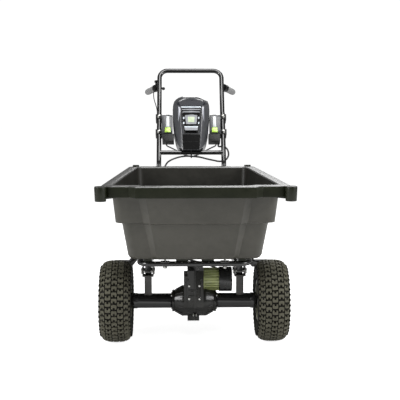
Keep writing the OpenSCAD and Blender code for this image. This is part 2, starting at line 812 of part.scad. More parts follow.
module upper_handle() {
    color("black") difference() {
        union() {
            handle_frame() hoop_tube(handle_r, 0);
            for (side = [-1, 1]) grip_frame(side) cylinder(r = handle_r, h = grip_end - 12);
        }
        handle_frame() hoop_tube(handle_r - 1.6, 2);
        for (v = clamp_v) handle_frame() both_sides() translate([handle_x, 0, v])
            rotate([90, 0, 0]) cylinder(r = 4.2, h = 80, center = true);
    }
}

module handle_clamps() {
    color("black") handle_frame() both_sides() for (v = clamp_v) difference() {
        block([handle_x - 12.8, -13, v - 12], [handle_x + 16, hoop_back + 13, v + 12]);
        for (y = [0, hoop_back]) translate([handle_x, y, v - 20])
            cylinder(r = handle_r + 0.1, h = 40);
        translate([handle_x, 0, v]) rotate([90, 0, 0])
            cylinder(r = 4.2, h = 90, center = true);
    }
}

module handle_bolts() {
    color("silver") both_sides() for (s = foot_spots)
        hex_bolt_x(handle_x + 8.7, pivot_x + rail_half + 3, 4, s[0], s[1], 3);
    color("silver") handle_frame() both_sides() for (v = clamp_v)
        translate([handle_x, 0, v]) {
            rotate([90, 0, 0]) translate([0, 0, -44]) cylinder(r = 4, h = 60);
            rotate([90, 0, 0]) translate([0, 0, 13.2]) cylinder(r1 = 10, r2 = 6, h = 6);
            rotate([90, 0, 0]) translate([0, 0, -43.5]) cylinder(r = 7.5, h = 6.3, $fn = 6);
        }
}

collar_t = 46;
module handle_grips() {
    color("gray") for (side = [-1, 1]) grip_frame(side) difference() {
        union() {
            translate([0, 0, collar_t]) cylinder(r = 18, h = 5);
            rotate_extrude() polygon([[0, collar_t], [14.5, collar_t], [16, 66], [15, 92],
                [16, 122], [14.5, 134], [9, grip_end], [0, grip_end]]);
        }
        translate([0, 0, -1]) cylinder(r = handle_r + 0.1, h = grip_end - 11);
    }
}

module grip_collar() {
    color("black") grip_frame(1) difference() {
        translate([0, 0, 20]) cylinder(r = 17, h = collar_t - 20.3);
        cylinder(r = handle_r + 0.1, h = 60);
    }
}

knob_t = 31;
module throttle_mount() {
    color("black") grip_frame(-1) difference() {
        union() {
            translate([0, 0, 26]) cylinder(r = 17, h = 10);
            // post for the direction knob
            translate([0, 0, knob_t]) rotate([90, 0, 0]) {
                cylinder(r = 5, h = 26);
                cylinder(r = 2.5, h = 37);
            }
            // lead outlet
            translate([0, 0, knob_t]) rotate([0, 0, 40]) rotate([-90, 0, 0])
                cylinder(r = 4.5, h = 24);
        }
        cylinder(r = handle_r + 0.1, h = 60);
    }
}

// ---------- power case ----------

lid_v = 232;
bay = [52, 100, 190];
face_at = -27;
face_tilt = 14.5;
face_h = 200;
half_outline = [[86, 200], [84.3, 223], [79.3, 241.6], [71, 252.7], [59, 262.3], [41, 269.4],
    [20, 273]];
low_outline = [[20, 13], [42, 13], [55, 21], [66, 38], [72, 60], [79, 95], [85.5, 163]];

function mirrored(p) = concat(p, [for (i = [len(p) - 1 : -1 : 0]) [-p[i][0], p[i][1]]]);

module case_slab(y0, y1, points, k) {
    translate([0, y1, 0]) rotate([90, 0, 0]) linear_extrude(height = y1 - y0)
        offset(delta = -k) polygon(mirrored(points));
}

// Frame of the sloping front face: local Z runs up the face, -Y faces forward
module face_frame() {
    handle_frame() translate([0, face_at, 0]) rotate([face_tilt, 0, 0]) children();
}

module case_solid(k) {
    hull() {
        case_slab(-20, 45 - k, concat(low_outline, half_outline), k);
        case_slab(-46 + k, -20, concat([[86, 190]], half_outline), k);
        // brow over the front face
        case_slab(-78.5 + k, -74, [[52, 200], [60, 216], [54, 230], [40, 240]], k);
        translate([0, face_at + k, 0]) rotate([face_tilt, 0, 0]) rotate([90, 0, 0])
            translate([0, 0, -4]) linear_extrude(height = 4)
                polygon([[-40 + k, k], [40 - k, k], [48 - k, face_h], [-48 + k, face_h]]);
    }
}

module case_shell() {
    difference() {
        case_solid(0);
        case_solid(4);
    }
}

hinge_at = [51, lid_v + 4.3];
// Clearance in the bottom of the case round the crossbar and its tie
bar_gap = 22.5;

module power_case_back() {
    color("dimgray") handle_frame() difference() {
        union() {
            intersection() {
                case_shell();
                block([-100, 0.1, 0], [100, 60, lid_v]);
            }
            // battery bay
            block([-bay[0] - 2.5, 2, bay[1] - 2.5], [bay[0] + 2.5, 45, bay[2] + 2.5]);
            // lid hinge
            for (s = [-1, 1])
                block([s * 29 - 6, 45.3, lid_v - 12], [s * 29 + 6, 56.5, lid_v]);
            for (s = [-1, 1]) rod_x(s * 29 - 6, s * 29 + 6, 5.5, hinge_at[0], hinge_at[1]);
            for (s = [-1, 1])
                block([s * 29 - 6, 44, lid_v - 12], [s * 29 + 6, 50, lid_v]);
            rod_x(-35, 35, 2, hinge_at[0], hinge_at[1]);
            for (x = [-30, 30]) for (v = [52, 88]) translate([x, 33, v])
                rotate([-90, 0, 0]) cylinder(r = 3, h = 10);
        }
        block([-bay[0], -20, bay[1]], [bay[0], 60, bay[2]]);
        rod_x(-60, 60, bar_gap);
    }
}

// The front shell is open behind the grille and the chin
module power_case_front() {
    color("gray") difference() {
        handle_frame() intersection() {
            case_shell();
            block([-100, -90, -20], [100, -0.1, lid_v]);
        }
        face_frame() rotate([90, 0, 0]) translate([0, 0, -12]) linear_extrude(height = 24)
            polygon([[-26, 81], [26, 81], [44, 193], [-44, 193]]);
        face_frame() block([-36, -12, 8], [36, 12, 74]);
        handle_frame() rod_x(-60, 60, bar_gap);
    }
}

// Bars of the grille: [half width, bottom, top] up the face
grille_gaps = [[27, 81, 88], [34, 113, 118], [41, 169, 178], [44, 184, 192]];

module vent_panel() {
    color("silver") face_frame() difference() {
        rotate([90, 0, 0]) translate([0, 0, 0.1]) linear_extrude(height = 3)
            polygon([[-33, 79], [33, 79], [49, 197], [-49, 197]]);
        for (g = grille_gaps) block([-g[0], -10, g[1]], [g[0], 10, g[2]]);
        // lattice windows either side of the badge
        for (s = [-1, 1]) for (i = [0 : 2])
            block([s * 31 - 4.5, -10, 122 + 15 * i], [s * 31 + 4.5, 10, 132 + 15 * i]);
    }
}

module case_chin() {
    color("black") face_frame() rotate([90, 0, 0]) translate([0, 0, 0.1])
        linear_extrude(height = 3) polygon([[-39, 3], [39, 3], [42, 76], [-42, 76]]);
}

module case_lid() {
    color("silver") handle_frame() difference() {
        union() {
            intersection() {
                case_shell();
                block([-100, -90, lid_v + 0.3], [100, 60, 300]);
            }
            block([-22.5, 41, lid_v + 0.3], [22.5, 51, lid_v + 8]);
            rod_x(-22.5, 22.5, 4, hinge_at[0], hinge_at[1]);
        }
        rod_x(-40, 40, 2 + run_gap, hinge_at[0], hinge_at[1]);
    }
}

pod_x = [87, 137];
pod_v = [80, 180];

module side_pod_solid(k) {
    hull() for (v = [pod_v[0] + 15, pod_v[1] - 15]) for (y = [-25, 19])
        translate([pod_x[0] + k, y, v]) rotate([0, 90, 0])
            cylinder(r = 15 - k, h = pod_x[1] - pod_x[0] - 2 * k, $fn = 32);
}

module side_pods() {
    color("dimgray") handle_frame() both_sides() difference() {
        side_pod_solid(0);
        side_pod_solid(3);
    }
}

module pod_bases() {
    color("black") handle_frame() both_sides() difference() {
        block([80, -36, 42], [134, 4, pod_v[0] - 0.2]);
        block([83, -33, 45], [131, 1, 90]);
    }
}

module pod_panels() {
    color("white") handle_frame() both_sides() translate([109, -40.2, 0]) rotate([90, 0, 0])
        linear_extrude(height = 2.5) polygon([[-8, 112], [8, 112], [7, 168], [-7, 168]]);
}

module pod_accents() {
    color("greenyellow") handle_frame() both_sides() translate([109, -40.2, 0])
        rotate([90, 0, 0]) linear_extrude(height = 4)
            polygon([[-14, 84], [14, 84], [12, 109], [-12, 109]]);
}

module control_board() {
    color("darkgreen") handle_frame() {
        block([-45, 29.8, 46], [45, 32.8, 94]);
        for (x = [-32, -10, 12]) block([x, 10, 55], [x + 16, 29.9, 85]);
    }
}

module battery_pack() {
    color("black") handle_frame() {
        block([-49, -38, 102], [49, 62, 188]);
        block([-36, 61, 130], [36, 72, 162]);
    }
}

// ---------- cables ----------

// Throttle lead: outlet, then down behind the left tube into the pod
throttle_route = concat([[-176.6, 857, 988.7], [-178.6, 855, 983], [-179, 851, 971],
    [-177, 843, 954], [-171, 832, 933], [-164.5, 814, 913]],
    [for (p = [[-160.5, 41.5, 232], [-160.5, 40.5, 205], [-160.5, 41, 180],
        [-158, 41, 158], [-146, 42, 144], [-128, 43, 139], [-114, 41, 138],
        [-108, 34.4, 138]])
        let (q = up_lean(p[2], p[1])) [p[0], q[0], q[1]]]);

// Motor harness: motor end cap, back between the rails, up behind the tub, tied under
// the crossbar, round the right tube and up into the right pod
harness_route = [[128, 47.2, 257], [128, 80, 257], [122, 130, 251], [90, 240, 245],
    [40, 340, 245], [-30, 430, 245], [-66, 480, 246], [-88, 508, 254],
    [-104, 530, 264], [-114, 552, 268], [-121, 574, 280], [-126, 592, 306],
    [-128, 600, 360], [-129, 604, 440], [-129, 607, 540],
    [-128, 611, 620], [-115, 618, 655], [-94, 624, 672], [-60, 634, 684],
    [-29, 642, 688.5], [0, 645, 688], [40, 643, 684], [72, 641, 676], [105, 642, 669],
    [122, 645, 665], [136, 649, 664], [150, 651, 666], [163, 653, 673],
    [172, 659, 686], [174, 666, 700], [170, 674, 716], [158, 682, 729],
    [143, 684, 731], [132, 680, 731], [127, 672, 733], [126, 665.4, 739.6],
    [126, 663.9, 743]];

// Two leads from the pod bases to the middle of the crossbar
lead_route = [[116, 663.9, 743.2], [112, 664, 735], [96, 667, 727], [74, 669, 716],
    [52, 670, 704], [30, 668, 693], [11, 661, 688]];

module throttle_lead() {
    color("black") swept_tube(throttle_route, 2.2, 3, 8);
}

module motor_harness() {
    color("black") swept_tube(harness_route, 4, 3, 8);
}

module case_leads() {
    color("black") both_sides() swept_tube(lead_route, 3, 3, 8);
}

module cable_tie() {
    color("black") difference() {
        block([-3, handle_y - 14, handle_z - 25], [3, handle_y + 17, handle_z + 13]);
        block([-4, handle_y - 12, handle_z - 23], [4, handle_y + 15, handle_z + 11]);
    }
}

// ---------- latch and hand controls ----------

// Hook for the cradle's rear crossbar, drawn closed and then swung open
latch_open = 62;
module latch_lever() {
    color("orangered") translate([0, latch_pivot[0], latch_pivot[1]])
        rotate([-latch_open, 0, 0]) difference() {
            union() {
                rod_x(-9.5, 9.5, 10);
                block([-9.5, -10, 0], [9.5, 8, 33.5]);
                block([-5, -66, 26.6], [5, 0, 33.5]);
                block([-5, -66, 12], [5, -54, 33.5]);
                block([-7, 0, 25], [7, 66, 33.5]);
                rod_x(-26, 26, 7, 68, 29);
            }
            rod_x(-20, 20, 4 + run_gap);
        }
}

// Thumb lever that turns on the grip tube
module throttle_lever() {
    color("black") grip_frame(-1) difference() {
        union() {
            translate([0, 0, 36.3]) cylinder(r = 16, h = 9.3);
            block([8, -4, 37], [40, 4, 45]);
            translate([42, 2, 37]) cylinder(r = 7, h = 8);
        }
        cylinder(r = handle_r + run_gap, h = 60);
    }
}

module direction_knob() {
    color("silver") grip_frame(-1) translate([0, 0, knob_t]) rotate([90, 0, 0])
        difference() {
            union() {
                translate([0, 0, 26.3]) cylinder(r = 8, h = 9);
                translate([0, 0, 26.3]) block([-2.5, -11, 0], [2.5, 0, 9]);
            }
            translate([0, 0, 20]) cylinder(r = 2.5 + run_gap, h = 14.2);
            translate([0, 0, 20]) cylinder(r = 2.5 + run_gap, h = 30);
        }
}

// ---------- assembly ----------

from_axle() {
    tub();
    tub_cradle();
    tub_bolts();
    chassis_rails();
    rear_beam();
    latch_crossbar();
    axle_posts();
    pivot_bolts();
    rest_pads();
    caster_plates();
    axle_tubes();
    transaxle_case_left();
    transaxle_case_right();
    transaxle_bolts();
    motor_housing();
    motor_end_cap();
    motor_stator();
    shaft_bearings();
    lower_handle();
    upper_handle();
    handle_clamps();
    handle_bolts();
    handle_grips();
    grip_collar();
    power_case_back();
    power_case_front();
    vent_panel();
    case_chin();
    side_pods();
    pod_bases();
    pod_panels();
    pod_accents();
    control_board();
    throttle_mount();
    throttle_lead();
    motor_harness();
    case_leads();
    cable_tie();
    tyre_left();
    tyre_right();
    rim_left();
    rim_right();
    half_shaft_left();
    half_shaft_right();
    wheel_nuts_left();
    wheel_nuts_right();
    differential_carrier();
    ring_gear();
    spider_gears();
    idler_gear();
    motor_rotor();
    caster_fork_left();
    caster_fork_right();
    caster_wheel_left();
    caster_wheel_right();
    battery_pack();
    case_lid();
    throttle_lever();
    direction_knob();
    latch_lever();
}
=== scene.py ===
"""Visual model of a battery-powered dump cart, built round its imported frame.

The cart is a plastic tub that tips over a driven axle, with two casters behind and a
tubular handle that carries the battery and motor-control case. Sizes are in
millimetres, with y measured from the drive axle, unless a name says otherwise.
"""

from __future__ import annotations

import json
import logging
import math
from dataclasses import dataclass, field
from enum import Enum
from typing import Callable, Iterable, Sequence

import bmesh
import bpy
from mathutils import Matrix, Vector
from mathutils.bvhtree import BVHTree

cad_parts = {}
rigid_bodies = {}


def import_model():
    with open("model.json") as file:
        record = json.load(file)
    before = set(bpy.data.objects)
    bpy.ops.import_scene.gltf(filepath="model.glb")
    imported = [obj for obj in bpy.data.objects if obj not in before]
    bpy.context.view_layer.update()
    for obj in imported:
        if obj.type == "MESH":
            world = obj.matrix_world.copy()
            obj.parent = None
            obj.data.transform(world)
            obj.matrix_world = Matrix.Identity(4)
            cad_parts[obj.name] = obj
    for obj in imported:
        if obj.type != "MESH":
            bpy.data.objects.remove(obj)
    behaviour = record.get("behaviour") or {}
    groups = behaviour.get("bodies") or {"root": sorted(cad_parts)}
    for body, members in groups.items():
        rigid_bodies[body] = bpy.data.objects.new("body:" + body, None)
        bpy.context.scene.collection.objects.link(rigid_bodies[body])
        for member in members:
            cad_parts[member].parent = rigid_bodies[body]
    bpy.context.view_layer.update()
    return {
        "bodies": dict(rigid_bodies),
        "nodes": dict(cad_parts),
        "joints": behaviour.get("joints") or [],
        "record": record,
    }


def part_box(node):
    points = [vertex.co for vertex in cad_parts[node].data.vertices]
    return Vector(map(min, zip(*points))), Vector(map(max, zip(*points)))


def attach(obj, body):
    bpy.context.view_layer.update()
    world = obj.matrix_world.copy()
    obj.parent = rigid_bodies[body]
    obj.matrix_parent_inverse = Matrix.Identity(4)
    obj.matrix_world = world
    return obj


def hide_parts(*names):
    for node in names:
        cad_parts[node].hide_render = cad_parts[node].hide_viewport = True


LOG = logging.getLogger("dump_cart")

MM = 0.001
MERGE_M = 1e-6
LEAN = 28.0
HANDLE_Y, HANDLE_Z = 650.0, 705.0
HANDLE_X = 150.0
HOOP_BACK = 24.0
GRIP_V, GRIP_YAW, GRIP_PITCH = 362.0, 28.5, 11.4
FACE_AT, FACE_TILT = -27.0, 14.5
POST_X = 180.0
SIDES = ((-1, "left"), (1, "right"))

Point = Sequence[float]
Colour = tuple[float, float, float]


# ---------------------------------------------------------------- places


class Place:
    """Turns sizes in the maker's millimetres into places in the shared frame."""

    axle_y: float = 0.0

    @classmethod
    def find_axle(cls) -> None:
        """Read the axle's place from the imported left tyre."""
        low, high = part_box("tyre_left")
        cls.axle_y = (low.y + high.y) / 2

    @classmethod
    def at(cls, x: float, y: float, z: float) -> Vector:
        """Return a point given in millimetres from the axle, in metres."""
        return Vector((x * MM, cls.axle_y + y * MM, z * MM))

    @classmethod
    def base(cls) -> Matrix:
        """Return the matrix from axle millimetres to the shared frame."""
        return Matrix.Translation((0, cls.axle_y, 0)) @ Matrix.Scale(MM, 4)

    @classmethod
    def handle(cls) -> Matrix:
        """Return the leaning frame of the handle, Z up the lean and Y backwards."""
        return (cls.base() @ Matrix.Translation((0, HANDLE_Y, HANDLE_Z))
                @ Matrix.Rotation(math.radians(-LEAN), 4, "X"))

    @classmethod
    def face(cls) -> Matrix:
        """Return the frame of the sloping front face, Z up the face."""
        return (cls.handle() @ Matrix.Translation((0, FACE_AT, 0))
                @ Matrix.Rotation(math.radians(FACE_TILT), 4, "X"))

    @classmethod
    def grip(cls, side: int) -> Matrix:
        """Return the frame of a grip, Z out along it and Y down.

        Args:
            side: -1 for the left grip and 1 for the right one.

        Returns:
            The matrix from grip millimetres to the shared frame.
        """
        sin, cos = math.sin(math.radians(LEAN)), math.cos(math.radians(LEAN))
        y = HANDLE_Y + GRIP_V * sin + HOOP_BACK * cos
        z = HANDLE_Z + GRIP_V * cos - HOOP_BACK * sin
        return (cls.base() @ Matrix.Translation((side * HANDLE_X, y, z))
                @ Matrix.Rotation(math.radians(-side * GRIP_YAW), 4, "Z")
                @ Matrix.Rotation(math.radians(-90 - GRIP_PITCH), 4, "X"))

    @classmethod
    def wheel(cls, side: int) -> Matrix:
        """Return the frame of a drive wheel, X outwards from its middle."""
        low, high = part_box("tyre_left" if side < 0 else "tyre_right")
        middle = (low + high) / 2
        turn = math.pi if side < 0 else 0.0
        return (Matrix.Translation(middle) @ Matrix.Rotation(turn, 4, "Z")
                @ Matrix.Scale(MM, 4))


# ---------------------------------------------------------------- finishes


class Grain(Enum):
    """The small relief of a surface: cells per metre, depth in metres, pebbling."""

    GLOSS = (260.0, 0.00002, 0.0)
    ORANGE_PEEL = (420.0, 0.00006, 0.25)
    LEATHER = (900.0, 0.00012, 0.85)
    CAST = (520.0, 0.00025, 0.5)
    BRUSHED = (700.0, 0.00003, 0.0)
    RUBBER = (640.0, 0.00014, 0.4)


@dataclass(frozen=True)
class Finish:
    """What one surface of the cart is made of and how it has been treated."""

    name: str
    slot: str
    colour: Colour
    second: Colour
    roughness: float
    grain: Grain = Grain.GLOSS
    metallic: float = 0.0
    coat: float = 0.0
    specular: float = 0.5
    drift: float = 7.0
    wear: float = 0.0
    bare: Colour = (0.35, 0.35, 0.34)
    dust: float = 0.0
    dust_colour: Colour = (0.22, 0.20, 0.16)
    stretch: tuple[float, float, float] = (1.0, 1.0, 1.0)


TUB_PLASTIC = Finish("moulded_tub_plastic", "tub_plastic", (0.064, 0.061, 0.050),
                     (0.048, 0.046, 0.037), 0.34, Grain.LEATHER, specular=0.4,
                     drift=5.0, wear=0.12, bare=(0.12, 0.115, 0.10), dust=0.04)
# Darker copy of the tub plastic: painted shade inside the tub.
TUB_INSIDE_SHADE = Finish("tub_inside_painted_shade", "tub_plastic", (0.013, 0.0125, 0.010),
                    (0.024, 0.023, 0.019), 0.44, Grain.LEATHER, specular=0.25, drift=7.0,
                    dust=0.03)
# Much darker copy of the tub plastic: painted shade on the rim lip, the corner bosses, the
# pads and the battens.
TUB_LIP_SHADE = Finish("tub_lip_painted_shade", "tub_plastic", (0.010, 0.012, 0.006),
                 (0.014, 0.016, 0.008), 0.36, Grain.LEATHER, specular=0.3, drift=9.0,
                 wear=0.10, bare=(0.07, 0.07, 0.06), dust=0.02)
# Lighter copy of the tub plastic: painted highlight on the flat rim top and on the boss
# rings.
TUB_RIM_HIGHLIGHT = Finish("tub_rim_painted_highlight", "tub_plastic", (0.085, 0.085, 0.083),
                     (0.062, 0.062, 0.060), 0.30, Grain.LEATHER, drift=8.0, dust=0.05)
BLACK_COAT = Finish("gloss_black_coat", "black_steel", (0.006, 0.006, 0.006),
                    (0.010, 0.010, 0.010), 0.20, Grain.GLOSS, coat=0.6)
CHARCOAL_COAT = Finish("charcoal_coat", "grey_steel", (0.060, 0.056, 0.050),
                       (0.040, 0.037, 0.033), 0.38, Grain.ORANGE_PEEL, coat=0.2,
                       wear=0.12, dust=0.05)
ZINC = Finish("zinc_plate", "zinc", (0.62, 0.62, 0.60), (0.48, 0.48, 0.45), 0.28,
              Grain.BRUSHED, metallic=1.0, drift=40.0, wear=0.1, bare=(0.8, 0.8, 0.8))
STEEL = Finish("machined_steel", "steel", (0.46, 0.46, 0.45), (0.36, 0.36, 0.35), 0.3,
               Grain.BRUSHED, metallic=1.0, drift=30.0, stretch=(0.08, 1.0, 1.0))
CASTING = Finish("black_casting", "case_iron", (0.006, 0.006, 0.005),
                 (0.010, 0.010, 0.008), 0.26, Grain.CAST, coat=0.3, specular=0.35,
                 wear=0.15, bare=(0.05, 0.048, 0.04), dust=0.03)
MOTOR_PAINT = Finish("green_motor_paint", "motor_green", (0.42, 0.47, 0.20),
                     (0.32, 0.36, 0.13), 0.32, Grain.ORANGE_PEEL, coat=0.3, wear=0.2,
                     bare=(0.6, 0.62, 0.45), dust=0.03)
MOTOR_BLACK = Finish("black_motor_paint", "motor_black", (0.006, 0.006, 0.006),
                     (0.010, 0.010, 0.010), 0.28, Grain.ORANGE_PEEL, coat=0.4, wear=0.1,
                     bare=(0.06, 0.06, 0.06))
COPPER = Finish("stator_copper", "winding", (0.62, 0.29, 0.12), (0.5, 0.22, 0.08),
                0.35, Grain.BRUSHED, metallic=1.0, stretch=(0.05, 1.0, 1.0))
RIM_PAINT = Finish("beige_rim_paint", "rim_paint", (0.36, 0.36, 0.27),
                   (0.26, 0.26, 0.19), 0.32, Grain.ORANGE_PEEL, coat=0.25, wear=0.15,
                   bare=(0.5, 0.5, 0.45), dust=0.05)
CARCASS = Finish("tyre_rubber", "tyre", (0.008, 0.008, 0.006), (0.014, 0.013, 0.010),
                 0.6, Grain.RUBBER, specular=0.15, drift=16.0)
TREAD = Finish("tread_rubber", "tyre", (0.115, 0.110, 0.080), (0.072, 0.069, 0.048),
               0.6, Grain.RUBBER, specular=0.25, drift=34.0, wear=0.2,
               bare=(0.20, 0.19, 0.15))
CASTER_TREAD = Finish("caster_rubber", "caster_rubber", (0.030, 0.030, 0.029),
                      (0.045, 0.044, 0.041), 0.55, Grain.RUBBER, drift=20.0, dust=0.2)
GRIP_RUBBER = Finish("grey_grip_rubber", "grip_rubber", (0.30, 0.30, 0.30),
                     (0.25, 0.25, 0.25), 0.55, Grain.RUBBER, drift=30.0)
BLACK_PLASTIC = Finish("black_plastic", "black_plastic", (0.009, 0.009, 0.009),
                       (0.014, 0.014, 0.014), 0.42, Grain.LEATHER, specular=0.2, wear=0.08,
                       bare=(0.05, 0.05, 0.05))
PAD_RUBBER = Finish("pad_rubber", "rubber_pad", (0.018, 0.018, 0.018),
                    (0.03, 0.03, 0.03), 0.6, Grain.RUBBER)
JACKET = Finish("cable_jacket", "cable", (0.012, 0.012, 0.012), (0.02, 0.02, 0.02),
                0.38, Grain.RUBBER, drift=30.0)
CASE_GREY = Finish("gloss_case_grey", "case_grey", (0.070, 0.072, 0.078),
                   (0.050, 0.052, 0.057), 0.20, Grain.GLOSS, coat=0.7, drift=6.0,
                   wear=0.08, bare=(0.2, 0.2, 0.21))
# Pale copy of the case grey: painted highlight on the facets beside the front band.
CASE_FACET_HIGHLIGHT = Finish("painted_highlight_facet", "case_grey", (0.42, 0.43, 0.48),
                    (0.32, 0.33, 0.37), 0.22, Grain.GLOSS, coat=0.5, drift=14.0)
CASE_SILVER = Finish("silver_plastic", "case_silver", (0.40, 0.41, 0.43),
                     (0.30, 0.31, 0.33), 0.24, Grain.GLOSS, coat=0.4, drift=12.0)
CHIN_BLACK = Finish("gloss_black_plastic", "chin_black", (0.004, 0.004, 0.004),
                    (0.007, 0.007, 0.007), 0.14, Grain.GLOSS, coat=0.6)
SEAM_BLACK = Finish("dark_seam", "chin_black", (0.003, 0.003, 0.003),
                    (0.005, 0.005, 0.005), 0.4, Grain.GLOSS)
VISOR = Finish("smoked_visor", "chin_black", (0.012, 0.013, 0.017),
               (0.022, 0.024, 0.030), 0.30, Grain.GLOSS, specular=0.12, drift=12.0)
# Lighter copy of the silver plastic: painted highlight on the visor edge, the face chips
# and the lower bar.
SILVER_HIGHLIGHT = Finish("silver_painted_highlight", "case_silver", (0.80, 0.86, 0.90),
                     (0.66, 0.73, 0.80), 0.2, Grain.GLOSS, coat=0.4, drift=18.0)
POD_GREY = Finish("satin_pod_grey", "pod_grey", (0.070, 0.073, 0.078),
                  (0.050, 0.052, 0.056), 0.28, Grain.GLOSS, coat=0.15, specular=0.35,
                  wear=0.08, bare=(0.2, 0.2, 0.21))
STRIP_WHITE = Finish("light_strip", "panel_white", (0.60, 0.62, 0.63),
                     (0.52, 0.54, 0.55), 0.3, Grain.GLOSS, coat=0.3)
LIME = Finish("lime_plastic", "lime", (0.46, 0.70, 0.09), (0.38, 0.60, 0.06), 0.3,
              Grain.GLOSS, coat=0.4, drift=30.0)
BADGE = Finish("pale_lime_badge", "lime", (0.56, 0.66, 0.42), (0.70, 0.78, 0.60), 0.25,
               Grain.GLOSS, coat=0.5, drift=45.0)
BOARD = Finish("circuit_board", "board", (0.02, 0.13, 0.04), (0.03, 0.18, 0.06), 0.4,
               Grain.GLOSS, drift=60.0)
BATTERY = Finish("battery_plastic", "battery_black", (0.022, 0.022, 0.022),
                 (0.035, 0.035, 0.035), 0.45, Grain.LEATHER, wear=0.2)
LATCH_PAINT = Finish("latch_paint", "latch_paint", (0.02, 0.02, 0.02),
                     (0.03, 0.03, 0.03), 0.35, Grain.ORANGE_PEEL, wear=0.35)


class NodeSheet:
    """A short way to add and join the nodes of one tree."""

    def __init__(self, tree: bpy.types.NodeTree) -> None:
        """Keep the tree that the nodes go into."""
        self.tree = tree

    def add(self, kind: str, inputs: dict | None = None, **settings) -> bpy.types.Node:
        """Add a node.

        Args:
            kind: the node's type name.
            inputs: values or sockets for the inputs, by name or number.
            **settings: attributes of the node itself.

        Returns:
            The new node.
        """
        node = self.tree.nodes.new(kind)
        for name, value in settings.items():
            setattr(node, name, value)
        for name, value in (inputs or {}).items():
            if isinstance(value, bpy.types.NodeSocket):
                self.tree.links.new(value, node.inputs[name])
            else:
                node.inputs[name].default_value = value
        return node

    def maths(self, operation: str, *values: float | bpy.types.NodeSocket,
              clamp: bool = False) -> bpy.types.NodeSocket:
        """Add a Math node on the given values and return its output."""
        node = self.add("ShaderNodeMath", dict(enumerate(values)),
                        operation=operation, use_clamp=clamp)
        return node.outputs[0]

    def blend(self, factor: float | bpy.types.NodeSocket,
              first: bpy.types.NodeSocket | tuple,
              second: bpy.types.NodeSocket | tuple) -> bpy.types.NodeSocket:
        """Mix two colours by a factor and return the colour."""
        node = self.add("ShaderNodeMix", {0: factor, 6: first, 7: second},
                        data_type="RGBA")
        return node.outputs[2]


def opaque(colour: Colour) -> tuple[float, float, float, float]:
    """Return a colour with full alpha."""
    return (*colour, 1.0)


